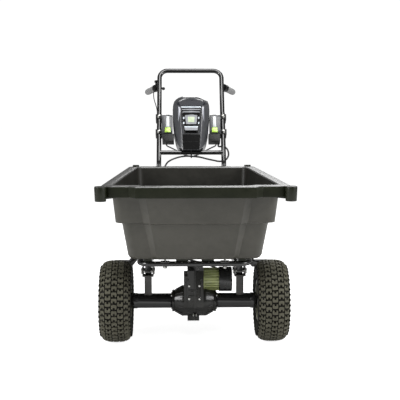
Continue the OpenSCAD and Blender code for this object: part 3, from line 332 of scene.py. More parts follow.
class EffectLibrary:
    """Shader node groups that the finishes share."""

    TONED = {"Colour": "NodeSocketColor", "Mask": "NodeSocketFloat"}

    def __init__(self) -> None:
        """Build each effect once."""
        self.grain = self._grain()
        self.drift = self._drift()
        self.wear = self._wear()
        self.dust = self._dust()

    @staticmethod
    def _open(name: str, inputs: dict[str, str], outputs: dict[str, str]
              ) -> tuple[NodeSheet, bpy.types.Node, bpy.types.Node]:
        """Make an empty group with its sockets.

        Args:
            name: the group's name.
            inputs: socket type by input name.
            outputs: socket type by output name.

        Returns:
            The sheet, the group input node and the group output node.
        """
        tree = bpy.data.node_groups.new(name, "ShaderNodeTree")
        for sockets, way in ((inputs, "INPUT"), (outputs, "OUTPUT")):
            for label, kind in sockets.items():
                tree.interface.new_socket(label, in_out=way, socket_type=kind)
        sheet = NodeSheet(tree)
        return sheet, sheet.add("NodeGroupInput"), sheet.add("NodeGroupOutput")

    @staticmethod
    def _closed(sheet: NodeSheet, result: bpy.types.Node, colour: bpy.types.NodeSocket,
                mask: bpy.types.NodeSocket) -> bpy.types.NodeTree:
        """Join a group's colour and mask to its output and return its tree."""
        sheet.tree.links.new(colour, result.inputs["Colour"])
        sheet.tree.links.new(mask, result.inputs["Mask"])
        return sheet.tree

    def _grain(self) -> bpy.types.NodeTree:
        """Small relief that runs from soft noise to pebbled cells."""
        sheet, source, result = self._open(
            "surface_grain",
            {"Vector": "NodeSocketVector", "Cells": "NodeSocketFloat",
             "Pebbling": "NodeSocketFloat"},
            {"Height": "NodeSocketFloat"})
        noise = sheet.add("ShaderNodeTexNoise", {
            "Vector": source.outputs["Vector"], "Scale": source.outputs["Cells"],
            "Detail": 3.0, "Roughness": 0.55})
        cells = sheet.add("ShaderNodeTexVoronoi", {
            "Vector": source.outputs["Vector"], "Scale": source.outputs["Cells"]})
        mixed = sheet.add("ShaderNodeMix", {
            0: source.outputs["Pebbling"], 2: noise.outputs["Fac"],
            3: cells.outputs["Distance"]})
        sheet.tree.links.new(mixed.outputs[0], result.inputs["Height"])
        return sheet.tree

    def _drift(self) -> bpy.types.NodeTree:
        """Slow change of tone across a surface, with a finer mottling on it."""
        sheet, source, result = self._open(
            "tone_drift",
            {"Vector": "NodeSocketVector", "Colour": "NodeSocketColor",
             "Second": "NodeSocketColor", "Scale": "NodeSocketFloat"},
            self.TONED)
        broad = sheet.add("ShaderNodeTexNoise", {
            "Vector": source.outputs["Vector"], "Scale": source.outputs["Scale"],
            "Detail": 4.0, "Roughness": 0.6, "Distortion": 0.4})
        fine_scale = sheet.maths("MULTIPLY", source.outputs["Scale"], 9.0)
        fine = sheet.add("ShaderNodeTexNoise", {
            "Vector": source.outputs["Vector"], "Scale": fine_scale, "Detail": 2.0})
        both = sheet.maths("MULTIPLY_ADD", fine.outputs["Fac"], 0.35, -0.17)
        total = sheet.maths("ADD", broad.outputs["Fac"], both)
        mask = sheet.add("ShaderNodeMapRange", {
            "Value": total, "From Min": 0.32, "From Max": 0.68}).outputs["Result"]
        colour = sheet.blend(mask, source.outputs["Colour"], source.outputs["Second"])
        return self._closed(sheet, result, colour, mask)

    def _wear(self) -> bpy.types.NodeTree:
        """Paint rubbed thin along convex edges."""
        sheet, source, result = self._open(
            "edge_wear",
            {"Vector": "NodeSocketVector", "Colour": "NodeSocketColor",
             "Bare": "NodeSocketColor", "Amount": "NodeSocketFloat"},
            self.TONED)
        shape = sheet.add("ShaderNodeNewGeometry")
        edge = sheet.add("ShaderNodeMapRange", {
            "Value": shape.outputs["Pointiness"], "From Min": 0.52,
            "From Max": 0.62}).outputs["Result"]
        patches = sheet.add("ShaderNodeTexNoise", {
            "Vector": source.outputs["Vector"], "Scale": 85.0, "Detail": 4.0})
        broken = sheet.add("ShaderNodeMapRange", {
            "Value": patches.outputs["Fac"], "From Min": 0.35,
            "From Max": 0.65}).outputs["Result"]
        mask = sheet.maths("MULTIPLY", sheet.maths("MULTIPLY", edge, broken),
                           source.outputs["Amount"], clamp=True)
        colour = sheet.blend(mask, source.outputs["Colour"], source.outputs["Bare"])
        return self._closed(sheet, result, colour, mask)

    def _dust(self) -> bpy.types.NodeTree:
        """Thin dust that has settled on faces that look upwards."""
        sheet, source, result = self._open(
            "settled_dust",
            {"Vector": "NodeSocketVector", "Colour": "NodeSocketColor",
             "Dust": "NodeSocketColor", "Amount": "NodeSocketFloat"},
            self.TONED)
        shape = sheet.add("ShaderNodeNewGeometry")
        parts = sheet.add("ShaderNodeSeparateXYZ", {0: shape.outputs["Normal"]})
        upward = sheet.add("ShaderNodeMapRange", {
            "Value": parts.outputs["Z"], "From Min": 0.2,
            "From Max": 0.95}).outputs["Result"]
        patches = sheet.add("ShaderNodeTexNoise", {
            "Vector": source.outputs["Vector"], "Scale": 38.0, "Detail": 6.0,
            "Roughness": 0.7})
        mask = sheet.maths("MULTIPLY", sheet.maths("MULTIPLY", upward,
                                                   patches.outputs["Fac"]),
                           source.outputs["Amount"], clamp=True)
        colour = sheet.blend(mask, source.outputs["Colour"], source.outputs["Dust"])
        return self._closed(sheet, result, colour, mask)


class FinishShop:
    """Makes each finish's material the first time it is asked for."""

    def __init__(self) -> None:
        """Start with the shared effects and no materials."""
        self.effects = EffectLibrary()
        self.made: dict[str, bpy.types.Material] = {}

    def material(self, finish: Finish) -> bpy.types.Material:
        """Return the material of a finish, making it if it's new."""
        if finish.name not in self.made:
            self.made[finish.name] = self._make(finish)
        return self.made[finish.name]

    def _make(self, finish: Finish) -> bpy.types.Material:
        """Build the node tree of a finish.

        Args:
            finish: the finish to make.

        Returns:
            The new material.
        """
        material = bpy.data.materials.new(finish.name)
        material.use_nodes = True
        tree = material.node_tree
        tree.nodes.clear()
        sheet = NodeSheet(tree)
        spot = sheet.add("ShaderNodeTexCoord").outputs["Object"]
        vector = sheet.add("ShaderNodeMapping", {
            "Vector": spot, "Scale": finish.stretch}).outputs["Vector"]

        def effect(group: bpy.types.NodeTree, values: dict) -> bpy.types.Node:
            """Place a shared effect with its own values."""
            return sheet.add("ShaderNodeGroup", {"Vector": vector, **values},
                             node_tree=group)

        drift = effect(self.effects.drift, {
            "Colour": opaque(finish.colour), "Second": opaque(finish.second),
            "Scale": finish.drift})
        colour, extra = drift.outputs["Colour"], drift.outputs["Mask"]
        rough = sheet.maths("MULTIPLY_ADD", extra, 0.10, finish.roughness - 0.05)
        if finish.wear:
            worn = effect(self.effects.wear, {
                "Colour": colour, "Bare": opaque(finish.bare), "Amount": finish.wear})
            colour = worn.outputs["Colour"]
        if finish.dust:
            dusty = effect(self.effects.dust, {
                "Colour": colour, "Dust": opaque(finish.dust_colour),
                "Amount": finish.dust})
            colour = dusty.outputs["Colour"]
            rough = sheet.maths("MULTIPLY_ADD", dusty.outputs["Mask"], 0.4, rough,
                                clamp=True)
        cells, depth, pebbling = finish.grain.value
        grain = effect(self.effects.grain, {"Cells": cells, "Pebbling": pebbling})
        bump = sheet.add("ShaderNodeBump", {
            "Height": grain.outputs["Height"], "Distance": depth, "Strength": 0.6})
        shader = sheet.add("ShaderNodeBsdfPrincipled", {
            "Base Color": colour, "Roughness": rough, "Normal": bump.outputs["Normal"],
            "Metallic": finish.metallic, "Coat Weight": finish.coat})
        shader.inputs["Coat Roughness"].default_value = 0.12
        shader.inputs["Specular IOR Level"].default_value = finish.specular
        out = sheet.add("ShaderNodeOutputMaterial")
        tree.links.new(shader.outputs["BSDF"], out.inputs["Surface"])
        return material


# ---------------------------------------------------------------- meshes


@dataclass
class Shape:
    """Points and faces of a mesh on its way to becoming a piece."""

    points: list[Vector] = field(default_factory=list)
    faces: list[list[int]] = field(default_factory=list)

    def take(self, other: "Shape") -> "Shape":
        """Add another shape's points and faces to this one."""
        base = len(self.points)
        self.points += other.points
        self.faces += [[i + base for i in f] for f in other.faces]
        return self

    def moved(self, matrix: Matrix) -> "Shape":
        """Return the shape carried through a matrix."""
        faces = [list(f) for f in self.faces]
        if matrix.determinant() < 0:
            faces = [f[::-1] for f in faces]
        return Shape([matrix @ p for p in self.points], faces)

    def mesh(self, name: str) -> bpy.types.Mesh:
        """Return the shape as a plain mesh."""
        mesh = bpy.data.meshes.new(name)
        mesh.from_pydata([tuple(p) for p in self.points], [], self.faces)
        mesh.update()
        return mesh


def block(low: Point, high: Point) -> Shape:
    """Return a box from one corner to the other."""
    (x0, y0, z0), (x1, y1, z1) = low, high
    points = [Vector((x, y, z)) for z in (z0, z1) for y in (y0, y1) for x in (x0, x1)]
    return Shape(points, [[0, 2, 3, 1], [4, 5, 7, 6], [0, 1, 5, 4], [2, 6, 7, 3],
                          [0, 4, 6, 2], [1, 3, 7, 5]])


def loft(rings: Sequence[Sequence[Point]], closed: bool = False) -> Shape:
    """Join rings of points with faces.

    Args:
        rings: rings with the same number of points, each anticlockwise seen from
            the last ring's side.
        closed: whether the last ring joins the first, as on a hoop.

    Returns:
        The shape, with its end rings filled unless it is closed.
    """
    count, size = len(rings), len(rings[0])
    shape = Shape([Vector(p) for ring in rings for p in ring])
    for i in range(count if closed else count - 1):
        for k in range(size):
            a, b = i * size, (i + 1) % count * size
            shape.faces.append([a + k, a + (k + 1) % size, b + (k + 1) % size, b + k])
    if not closed:
        shape.faces.append(list(range(size))[::-1])
        shape.faces.append([(count - 1) * size + k for k in range(size)])
    return shape


def prism(outline: Sequence[tuple[float, float]], near: float, far: float,
          taper: float = 0.0) -> Shape:
    """Raise an outline in X and Z from y = near (front) back to y = far.

    Args:
        outline: anticlockwise points, seen from the front.
        near: where the front face stands.
        far: where the back face stands.
        taper: how much the front face is drawn in towards the middle, as a share.

    Returns:
        The solid shape.
    """
    cx = sum(p[0] for p in outline) / len(outline)
    cz = sum(p[1] for p in outline) / len(outline)
    front = [(cx + (x - cx) * (1 - taper), near, cz + (z - cz) * (1 - taper))
             for x, z in outline]
    return loft([[(x, far, z) for x, z in outline], front])


def turned(profile: Sequence[tuple[float, float]], steps: int = 64) -> Shape:
    """Turn a closed profile about the X axis.

    Args:
        profile: points as (radius, distance along X), going round the section.
        steps: how many sides the turning has.

    Returns:
        The ring-shaped solid.
    """
    rings = [[(x, r * math.sin(t), r * math.cos(t)) for r, x in profile]
             for t in (2 * math.pi * i / steps for i in range(steps))]
    return loft(rings, closed=True)


def capped(profile: Sequence[tuple[float, float]], steps: int = 24) -> Shape:
    """Turn an open profile about the Z axis and fill its ends.

    Args:
        profile: points as (radius, height), from the bottom up.
        steps: how many sides the turning has.

    Returns:
        The solid shape.
    """
    return loft([[(r * math.cos(t), r * math.sin(t), z)
                  for t in (2 * math.pi * i / steps for i in range(steps))]
                 for r, z in profile])


def hooped(profile: Sequence[tuple[float, float]], steps: int = 40) -> Shape:
    """Turn a closed profile of (radius, height) about the Z axis into a ring."""
    return loft([[(r * math.cos(t), r * math.sin(t), h) for r, h in profile]
                 for t in (2 * math.pi * i / steps for i in range(steps))], closed=True)


def face_outwards(mesh: bpy.types.Mesh, merge: float = 0.0) -> bpy.types.Mesh:
    """Turn a mesh's faces outwards, after merging points nearer than merge metres."""
    form = bmesh.new()
    form.from_mesh(mesh)
    if merge:
        bmesh.ops.remove_doubles(form, verts=form.verts, dist=merge)
    bmesh.ops.recalc_face_normals(form, faces=form.faces)
    form.to_mesh(mesh)
    form.free()
    return mesh


def smooth_route(points: Sequence[Point], steps: int = 8) -> list[Vector]:
    """Return points on a smooth curve through the given ones."""
    p = [Vector(q) for q in points]
    route = []
    for i in range(len(p) - 1):
        a, b, c, d = p[max(i - 1, 0)], p[i], p[i + 1], p[min(i + 2, len(p) - 1)]
        for k in range(steps):
            t = k / steps
            route.append(0.5 * (2 * b + (c - a) * t + (2 * a - 5 * b + 4 * c - d) * t * t
                                + (3 * b - a - 3 * c + d) * t * t * t))
    return route + [p[-1]]


def tube(route: Sequence[Vector], radius: float, sides: int = 12) -> Shape:
    """Sweep a round section along a route without twisting it."""
    side = None
    rings = []
    for i, p in enumerate(route):
        ahead = (route[min(i + 1, len(route) - 1)] - route[max(i - 1, 0)]).normalized()
        if side is None:
            side = ahead.cross(Vector((1, 0, 0))).normalized()
        side = (side - ahead * side.dot(ahead)).normalized()
        other = ahead.cross(side)
        rings.append([p + radius * (side * math.cos(t) + other * math.sin(t))
                      for t in (2 * math.pi * k / sides for k in range(sides))])
    return loft(rings)


# ---------------------------------------------------------------- patterns


class PatternShop:
    """Geometry Nodes trees that repeat a small mesh, and their baking."""

    def __init__(self) -> None:
        """Build the two pattern trees."""
        self.round = self._tree("round_pattern", turning=True)
        self.row = self._tree("row_pattern", turning=False)

    @staticmethod
    def _tree(name: str, turning: bool) -> bpy.types.NodeTree:
        """Build a tree that sets copies of its mesh round an axis or in a row.

        Args:
            name: the tree's name.
            turning: copies turn about the X axis through Centre if true, and
                step by Step if false.

        Returns:
            The node tree.
        """
        tree = bpy.data.node_groups.new(name, "GeometryNodeTree")
        sockets = (("Geometry", "NodeSocketGeometry"), ("Count", "NodeSocketInt"),
                   ("Centre", "NodeSocketVector"), ("Step", "NodeSocketVector"),
                   ("First", "NodeSocketVector"), ("Material", "NodeSocketMaterial"))
        for label, kind in sockets:
            tree.interface.new_socket(label, in_out="INPUT", socket_type=kind)
        tree.interface.new_socket("Geometry", in_out="OUTPUT",
                                  socket_type="NodeSocketGeometry")
        sheet = NodeSheet(tree)
        source, result = sheet.add("NodeGroupInput"), sheet.add("NodeGroupOutput")
        line = sheet.add("GeometryNodeMeshLine", {
            "Count": source.outputs["Count"], "Start Location": (0.0, 0.0, 0.0),
            "Offset": (0.0, 0.0, 0.0)})
        index = sheet.add("GeometryNodeInputIndex").outputs[0]
        steps = sheet.add("ShaderNodeVectorMath", {
            0: source.outputs["Step"]}, operation="SCALE")
        tree.links.new(index, steps.inputs["Scale"])
        each = sheet.add("ShaderNodeVectorMath", {
            0: steps.outputs[0], 1: source.outputs["First"]}, operation="ADD").outputs[0]
        where = source.outputs["Centre"] if turning else each
        spots = sheet.add("GeometryNodeSetPosition", {
            "Geometry": line.outputs[0], "Position": where})
        copies = sheet.add("GeometryNodeInstanceOnPoints", {
            "Points": spots.outputs[0], "Instance": source.outputs["Geometry"]})
        if turning:
            turn = sheet.add("FunctionNodeEulerToRotation", {0: each})
            tree.links.new(turn.outputs[0], copies.inputs["Rotation"])
        real = sheet.add("GeometryNodeRealizeInstances", {0: copies.outputs[0]})
        painted = sheet.add("GeometryNodeSetMaterial", {
            "Geometry": real.outputs[0], "Material": source.outputs["Material"]})
        tree.links.new(painted.outputs[0], result.inputs["Geometry"])
        return tree

    def repeat(self, shape: Shape, count: int, material: bpy.types.Material,
               step: Point, first: Point = (0, 0, 0), centre: Point | None = None
               ) -> bpy.types.Mesh:
        """Repeat a shape and return the result as a plain mesh.

        Args:
            shape: the shape to repeat, in metres. For a round pattern its place is
                measured from the centre.
            count: how many copies.
            material: the material of the copies.
            step: radians about each axis, or metres, from one copy to the next.
            first: radians or metres of the first copy.
            centre: the centre of a round pattern, or None for a row.

        Returns:
            The baked mesh.
        """
        maker = bpy.data.objects.new("pattern", shape.mesh("pattern"))
        bpy.context.scene.collection.objects.link(maker)
        tree = self.row if centre is None else self.round
        modifier = maker.modifiers.new("pattern", "NODES")
        modifier.node_group = tree
        values = {"Count": count, "Centre": tuple(centre or (0, 0, 0)),
                  "Step": tuple(step), "First": tuple(first), "Material": material}
        for item in tree.interface.items_tree:
            if item.in_out == "INPUT" and item.name in values:
                modifier[item.identifier] = values[item.name]
        depsgraph = bpy.context.evaluated_depsgraph_get()
        mesh = bpy.data.meshes.new_from_object(maker.evaluated_get(depsgraph))
        old = maker.data
        bpy.data.objects.remove(maker)
        bpy.data.meshes.remove(old)
        return mesh


# ---------------------------------------------------------------- workshop


class Workshop:
    """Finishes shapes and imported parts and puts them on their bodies."""

    def __init__(self, frame: dict) -> None:
        """Keep the frame and open the finish and pattern shops."""
        self.nodes = frame["nodes"]
        self.body_of = {node: body for body, members
                        in frame["record"]["behaviour"]["bodies"].items()
                        for node in members}
        self.finishes = FinishShop()
        self.patterns = PatternShop()

    def piece(self, name: str, mesh: bpy.types.Mesh, body: str, finish: Finish,
              replaces: Iterable[str] = (), edge: float = 0.0, sharp: float = 32.0,
              segments: int = 2) -> bpy.types.Object:
        """Turn a mesh into a finished piece of the cart.

        Args:
            name: the piece's name.
            mesh: its mesh, in place in the shared frame.
            body: the body that it rides on.
            finish: its finish.
            replaces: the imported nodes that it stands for.
            edge: the width of its rounded edges in millimetres, 0 for none.
            sharp: the angle in degrees past which an edge stays sharp.
            segments: how many faces make a rounded edge.

        Returns:
            The new object.
        """
        piece = bpy.data.objects.new(name, mesh)
        bpy.context.scene.collection.objects.link(piece)
        mesh.materials.clear()
        mesh.materials.append(self.finishes.material(finish))
        mesh.polygons.foreach_set("use_smooth", [True] * len(mesh.polygons))
        if edge:
            bevel = piece.modifiers.new("rounded_edges", "BEVEL")
            bevel.width = edge * MM
            bevel.segments = segments
            bevel.limit_method = "ANGLE"
            bevel.angle_limit = math.radians(sharp)
            bevel.harden_normals = True
            bevel.use_clamp_overlap = True
        else:
            mesh.set_sharp_from_angle(angle=math.radians(sharp))
        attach(piece, body)
        if replaces:
            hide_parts(*replaces)
        LOG.info("%s: %d faces on %s", name, len(mesh.polygons), body)
        return piece

    def shaped(self, name: str, shape: Shape, body: str, finish: Finish,
               **options) -> bpy.types.Object:
        """Make a piece from a shape in the shared frame, with its faces outwards."""
        mesh = face_outwards(shape.mesh(name), merge=MERGE_M)
        return self.piece(name, mesh, body, finish, **options)

    def refined(self, node: str, finish: Finish, edge: float = 0.6,
                sharp: float = 32.0, segments: int = 2) -> bpy.types.Object:
        """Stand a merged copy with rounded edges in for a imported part.

        Args:
            node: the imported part.
            finish: its finish.
            edge: the width of its rounded edges in millimetres.
            sharp: the angle past which an edge is rounded or stays sharp.
            segments: how many faces make a rounded edge.

        Returns:
            The new object.
        """
        mesh = self.nodes[node].data.copy()
        mesh.name = node + "_form"
        form = bmesh.new()
        form.from_mesh(mesh)
        bmesh.ops.remove_doubles(form, verts=form.verts, dist=2e-6)
        bmesh.ops.dissolve_degenerate(form, edges=form.edges, dist=MERGE_M)
        bmesh.ops.dissolve_limit(form, angle_limit=math.radians(0.6),
                                 verts=form.verts, edges=form.edges)
        form.to_mesh(mesh)
        form.free()
        return self.piece(node + "_form", mesh, self.body_of[node], finish,
                          replaces=[node], edge=edge, sharp=sharp, segments=segments)


# ---------------------------------------------------------------- tub


@dataclass
class Tub:
    """The tipping tub: two moulded tiers, a flat rim and four corner bosses."""

    shop: Workshop
    floor_z: float = 367.0
    ledge_z: float = 505.0
    rim_z: float = 651.0
    floor_half: float = 243.0
    mouth_half: float = 295.0
    rear_taper: float = 45.0
    rim_w: float = 40.0
    lip_h: float = 40.0
    wall: float = 5.0
    ledge_out: float = 21.0
    ledge_spread: float = 20.0
    floor_front: float = -235.0
    ledge_front: float = -283.0
    mouth_front: float = -348.0
    floor_rear: float = 400.0
    ledge_rear: float = 446.0
    mouth_rear: float = 490.0
    neck: float = 14.0
    boss_out: float = 31.0
    boss_y: float = -392.0
    boss_h: float = 52.0
    corner_step: int = 9

    @property
    def mouth_z(self) -> float:
        """Return the height where the wall turns out into the rim."""
        return self.rim_z - self.neck

    def wall_at(self, z: float) -> tuple[float, float, float]:
        """Return the wall's half width, front and rear at a height."""
        if z <= self.ledge_z:
            t = (z - self.floor_z) / (self.ledge_z - self.floor_z)
            return (self.floor_half + self.ledge_spread * t,
                    self.floor_front + (self.ledge_front - self.floor_front) * t,
                    self.floor_rear + (self.ledge_rear - self.floor_rear) * t)
        t = (z - self.ledge_z) / (self.mouth_z - self.ledge_z)
        half = self.floor_half + self.ledge_spread + self.ledge_out
        front = self.ledge_front - self.ledge_out
        rear = self.ledge_rear + self.ledge_out
        return (half + (self.mouth_half - half) * t,
                front + (self.mouth_front - front) * t,
                rear + (self.mouth_rear - rear) * t)

    def ring(self, z: float, out: float, copy: float) -> list[Vector]:
        """Return one outline of the tub.

        Args:
            z: its height.
            out: how far it stands outside the wall.
            copy: the height of the wall whose outline it copies.

        Returns:
            The points of the outline, in the shared frame.
        """
        half, front, rear = self.wall_at(copy)
        t = (copy - self.floor_z) / (self.mouth_z - self.floor_z)
        half += out * (0.82 if out > 0 else 1)
        front, rear = front - out, rear + out
        rear_half = half - (self.rear_taper - 10 + 10 * t)
        r = max(34 + out * (0.2 if out > 0 else 1), 8)
        depth = 14 + 13 * t
        inner = 138 + 40 * t + out * (0.72 if out > 0 else 0.5)
        outer = inner + 18 + 12 * t - max(out, 0) * 0.17
        points = []

        def corner(cx: float, cy: float, start: int) -> None:
            """Add the points of one rounded corner."""
            for a in range(start, start + 91, self.corner_step):
                c, s = math.cos(math.radians(a)), math.sin(math.radians(a))
                points.append(Place.at(cx + r * c, cy + r * s, z))

        corner(-(half - r), front + r, 180)
        points += [Place.at(-outer, front, z), Place.at(-inner, front - depth, z),
                   Place.at(inner, front - depth, z), Place.at(outer, front, z)]
        corner(half - r, front + r, 270)
        corner(rear_half - r, rear - r, 0)
        corner(-(rear_half - r), rear - r, 90)
        return points

    def shell(self) -> Shape:
        """Return the shell: outside, rolled rim and inside."""
        wall, rim, mouth = self.wall, self.rim_z, self.mouth_z
        top = self.ledge_z + 6
        levels = [
            (self.floor_z, -16, self.floor_z), (self.floor_z + 1.6, -10, self.floor_z + 2),
            (self.floor_z + 5.5, -4.2, self.floor_z + 5),
            (self.floor_z + 16, 0, self.floor_z + 16),
            (self.ledge_z - 9, 0, self.ledge_z - 9), (self.ledge_z, 0.6, self.ledge_z),
            (self.ledge_z + 1.2, 1.5, self.ledge_z), (top, 0, top), (top + 8, 0, top + 8),
            (rim - wall - 3, 0, mouth), (rim - wall, 2.5, mouth),
            (rim - wall, self.rim_w - wall - 1, mouth),
            (rim - self.lip_h, self.rim_w - wall + 2, mouth),
            (rim - self.lip_h - 0.4, self.rim_w - 2.5, mouth),
            (rim - self.lip_h + 1.4, self.rim_w - 0.2, mouth),
            (rim - 8, self.rim_w, mouth), (rim - 3.2, self.rim_w - 0.8, mouth),
            (rim - 0.9, self.rim_w - 3.1, mouth), (rim, self.rim_w - 6.5, mouth),
            (rim, 3, mouth), (rim - 1.1, -2.2, mouth), (rim - 5, -wall, mouth),
            (top + wall, -wall, top), (self.ledge_z + wall + 1, -wall, self.ledge_z),
            (self.ledge_z + wall - 4, -wall, self.ledge_z - 4),
            (self.floor_z + 22, -wall, self.floor_z + 20),
            (self.floor_z + 10, -wall - 4, self.floor_z + 9),
            (self.floor_z + wall + 1, -wall - 12, self.floor_z + wall),
            (self.floor_z + wall, -wall - 20, self.floor_z + wall)]
        return loft([self.ring(*level) for level in levels])

    def boss_place(self, side: int) -> Matrix:
        """Return the frame of a corner boss, from the bottom of its middle line."""
        return Place.base() @ Matrix.Translation(
            (side * (self.mouth_half + self.boss_out), self.boss_y,
             self.rim_z - self.boss_h))

    def boss(self, side: int) -> Shape:
        """Return a corner boss with its web, closed at the top and open below."""
        profile = [(14.5, 46), (14.5, 0), (18.5, 0), (19.4, 1.2), (20.9, 46), (20.6, 49),
                   (19, 50.6), (0.5, 50.8), (0.5, 46)]
        place = self.boss_place(side)
        web = block((0, -7, 0), (62, 7, self.lip_h - 3)).moved(
            Matrix.Rotation(math.radians(135 if side > 0 else 45), 4, "Z"))
        web = web.moved(Matrix.Translation((0, 0, self.boss_h - self.lip_h - 5)))
        return hooped(profile).moved(place).take(web.moved(place))

    def details(self) -> Shape:
        """Return the corner pads, the cross ridge and the floor battens."""
        base, form = Place.base(), Shape()
        rim = self.rim_z
        pad = block((236, 500, rim - 3), (264, 517, rim + 7))
        low, high = self.mouth_half - 20, self.mouth_half + 7
        ridge = [Vector((x, 82, rim - 1.2 + 0.4)) for x in (low, low + 9, high)]
        battens = [block((x0, -205, 355.3), (x1, 366, 368))
                   for x0, x1 in ((24, 70), (160, 188))]
        for side in (-1, 1):
            place = base @ Matrix.Scale(side, 4, (1, 0, 0))
            for shape in (pad, tube(ridge, 3.6, 12), *battens):
                form.take(shape.moved(place))
        return form

    def zone(self, middle: Vector, facing: Vector) -> int:
        """Tell the lip, the flat rim and the inside from the outer wall, so that they get
        the painted shade and painted highlight copies of the tub plastic.

        Args:
            middle: the middle of a face, in the shared frame.
            facing: which way the face looks.

        Returns:
            0 for the wall, 1 for the lip, 2 for the flat rim, 3 for the inside.
        """
        x, y = abs(middle.x) / MM, (middle.y - Place.axle_y) / MM
        z = middle.z / MM
        half, front, rear = self.wall_at(min(z, self.mouth_z))
        share = max(0.0, min(1.0, (y - front) / (rear - front)))
        side = half - self.rear_taper * share
        if z > self.rim_z - 6 and facing.z > 0.5:
            return 2
        outward = facing.x * middle.x > 0.05 if abs(facing.x) > abs(facing.y) else (
            facing.y * (y - 60) > 0)
        if z > self.rim_z - self.lip_h - 2 and outward and (
                x > side + 24 or y < front - 20 or y > rear + 24):
            return 1
        inside = z > self.floor_z + 2 and not outward and (
            z < self.rim_z - 3) and (facing.z > -0.3)
        return 3 if inside else 0

    def build(self) -> None:
        """Build the tub and its fastenings."""
        shop = self.shop
        tub = shop.shaped("tub_shell", self.shell(), "tub_body", TUB_PLASTIC,
                          replaces=["tub"], edge=1.6, sharp=24, segments=2)
        # Painted shade on the lip and inside, painted highlight on the flat rim top.
        for finish in (TUB_LIP_SHADE, TUB_RIM_HIGHLIGHT, TUB_INSIDE_SHADE):
            tub.data.materials.append(shop.finishes.material(finish))
        for face in tub.data.polygons:
            face.material_index = self.zone(face.center, face.normal)
        for side, name in SIDES:
            # The bosses get the rim lip's painted shade.
            shop.shaped(f"tub_boss_{name}", self.boss(side), "tub_body", TUB_LIP_SHADE,
                        edge=0.8, sharp=35)
            # A thin ring on each boss top carries a painted highlight.
            hoop = [(17.4, 50.2), (20.4, 50.2), (19.9, 51.4), (18.0, 51.5)]
            shop.shaped(f"tub_boss_highlight_ring_{name}",
                        hooped(hoop).moved(self.boss_place(side)), "tub_body",
                        TUB_RIM_HIGHLIGHT, sharp=50)
        # The pads and battens get the rim lip's painted shade too.
        shop.shaped("tub_pads_and_battens", self.details(), "tub_body", TUB_LIP_SHADE,
                    edge=1.5, sharp=35, segments=3)
        shop.refined("tub_cradle", BLACK_COAT, 0.8, 38)
        shop.refined("tub_bolts", ZINC, 0.5)
        ribs = block((-2, -1.6, -2), (2, 1.6, 0))
        ring = shop.patterns.repeat(
            ribs.moved(Matrix.Scale(MM, 4)), 13, shop.finishes.material(TUB_PLASTIC),
            (0.024, 0, 0), tuple(Place.at(-144, -282, self.floor_z + 0.4)))
        shop.piece("tub_floor_ribs", ring, "tub_body", TUB_PLASTIC, edge=0.4)


# ---------------------------------------------------------------- drive wheels


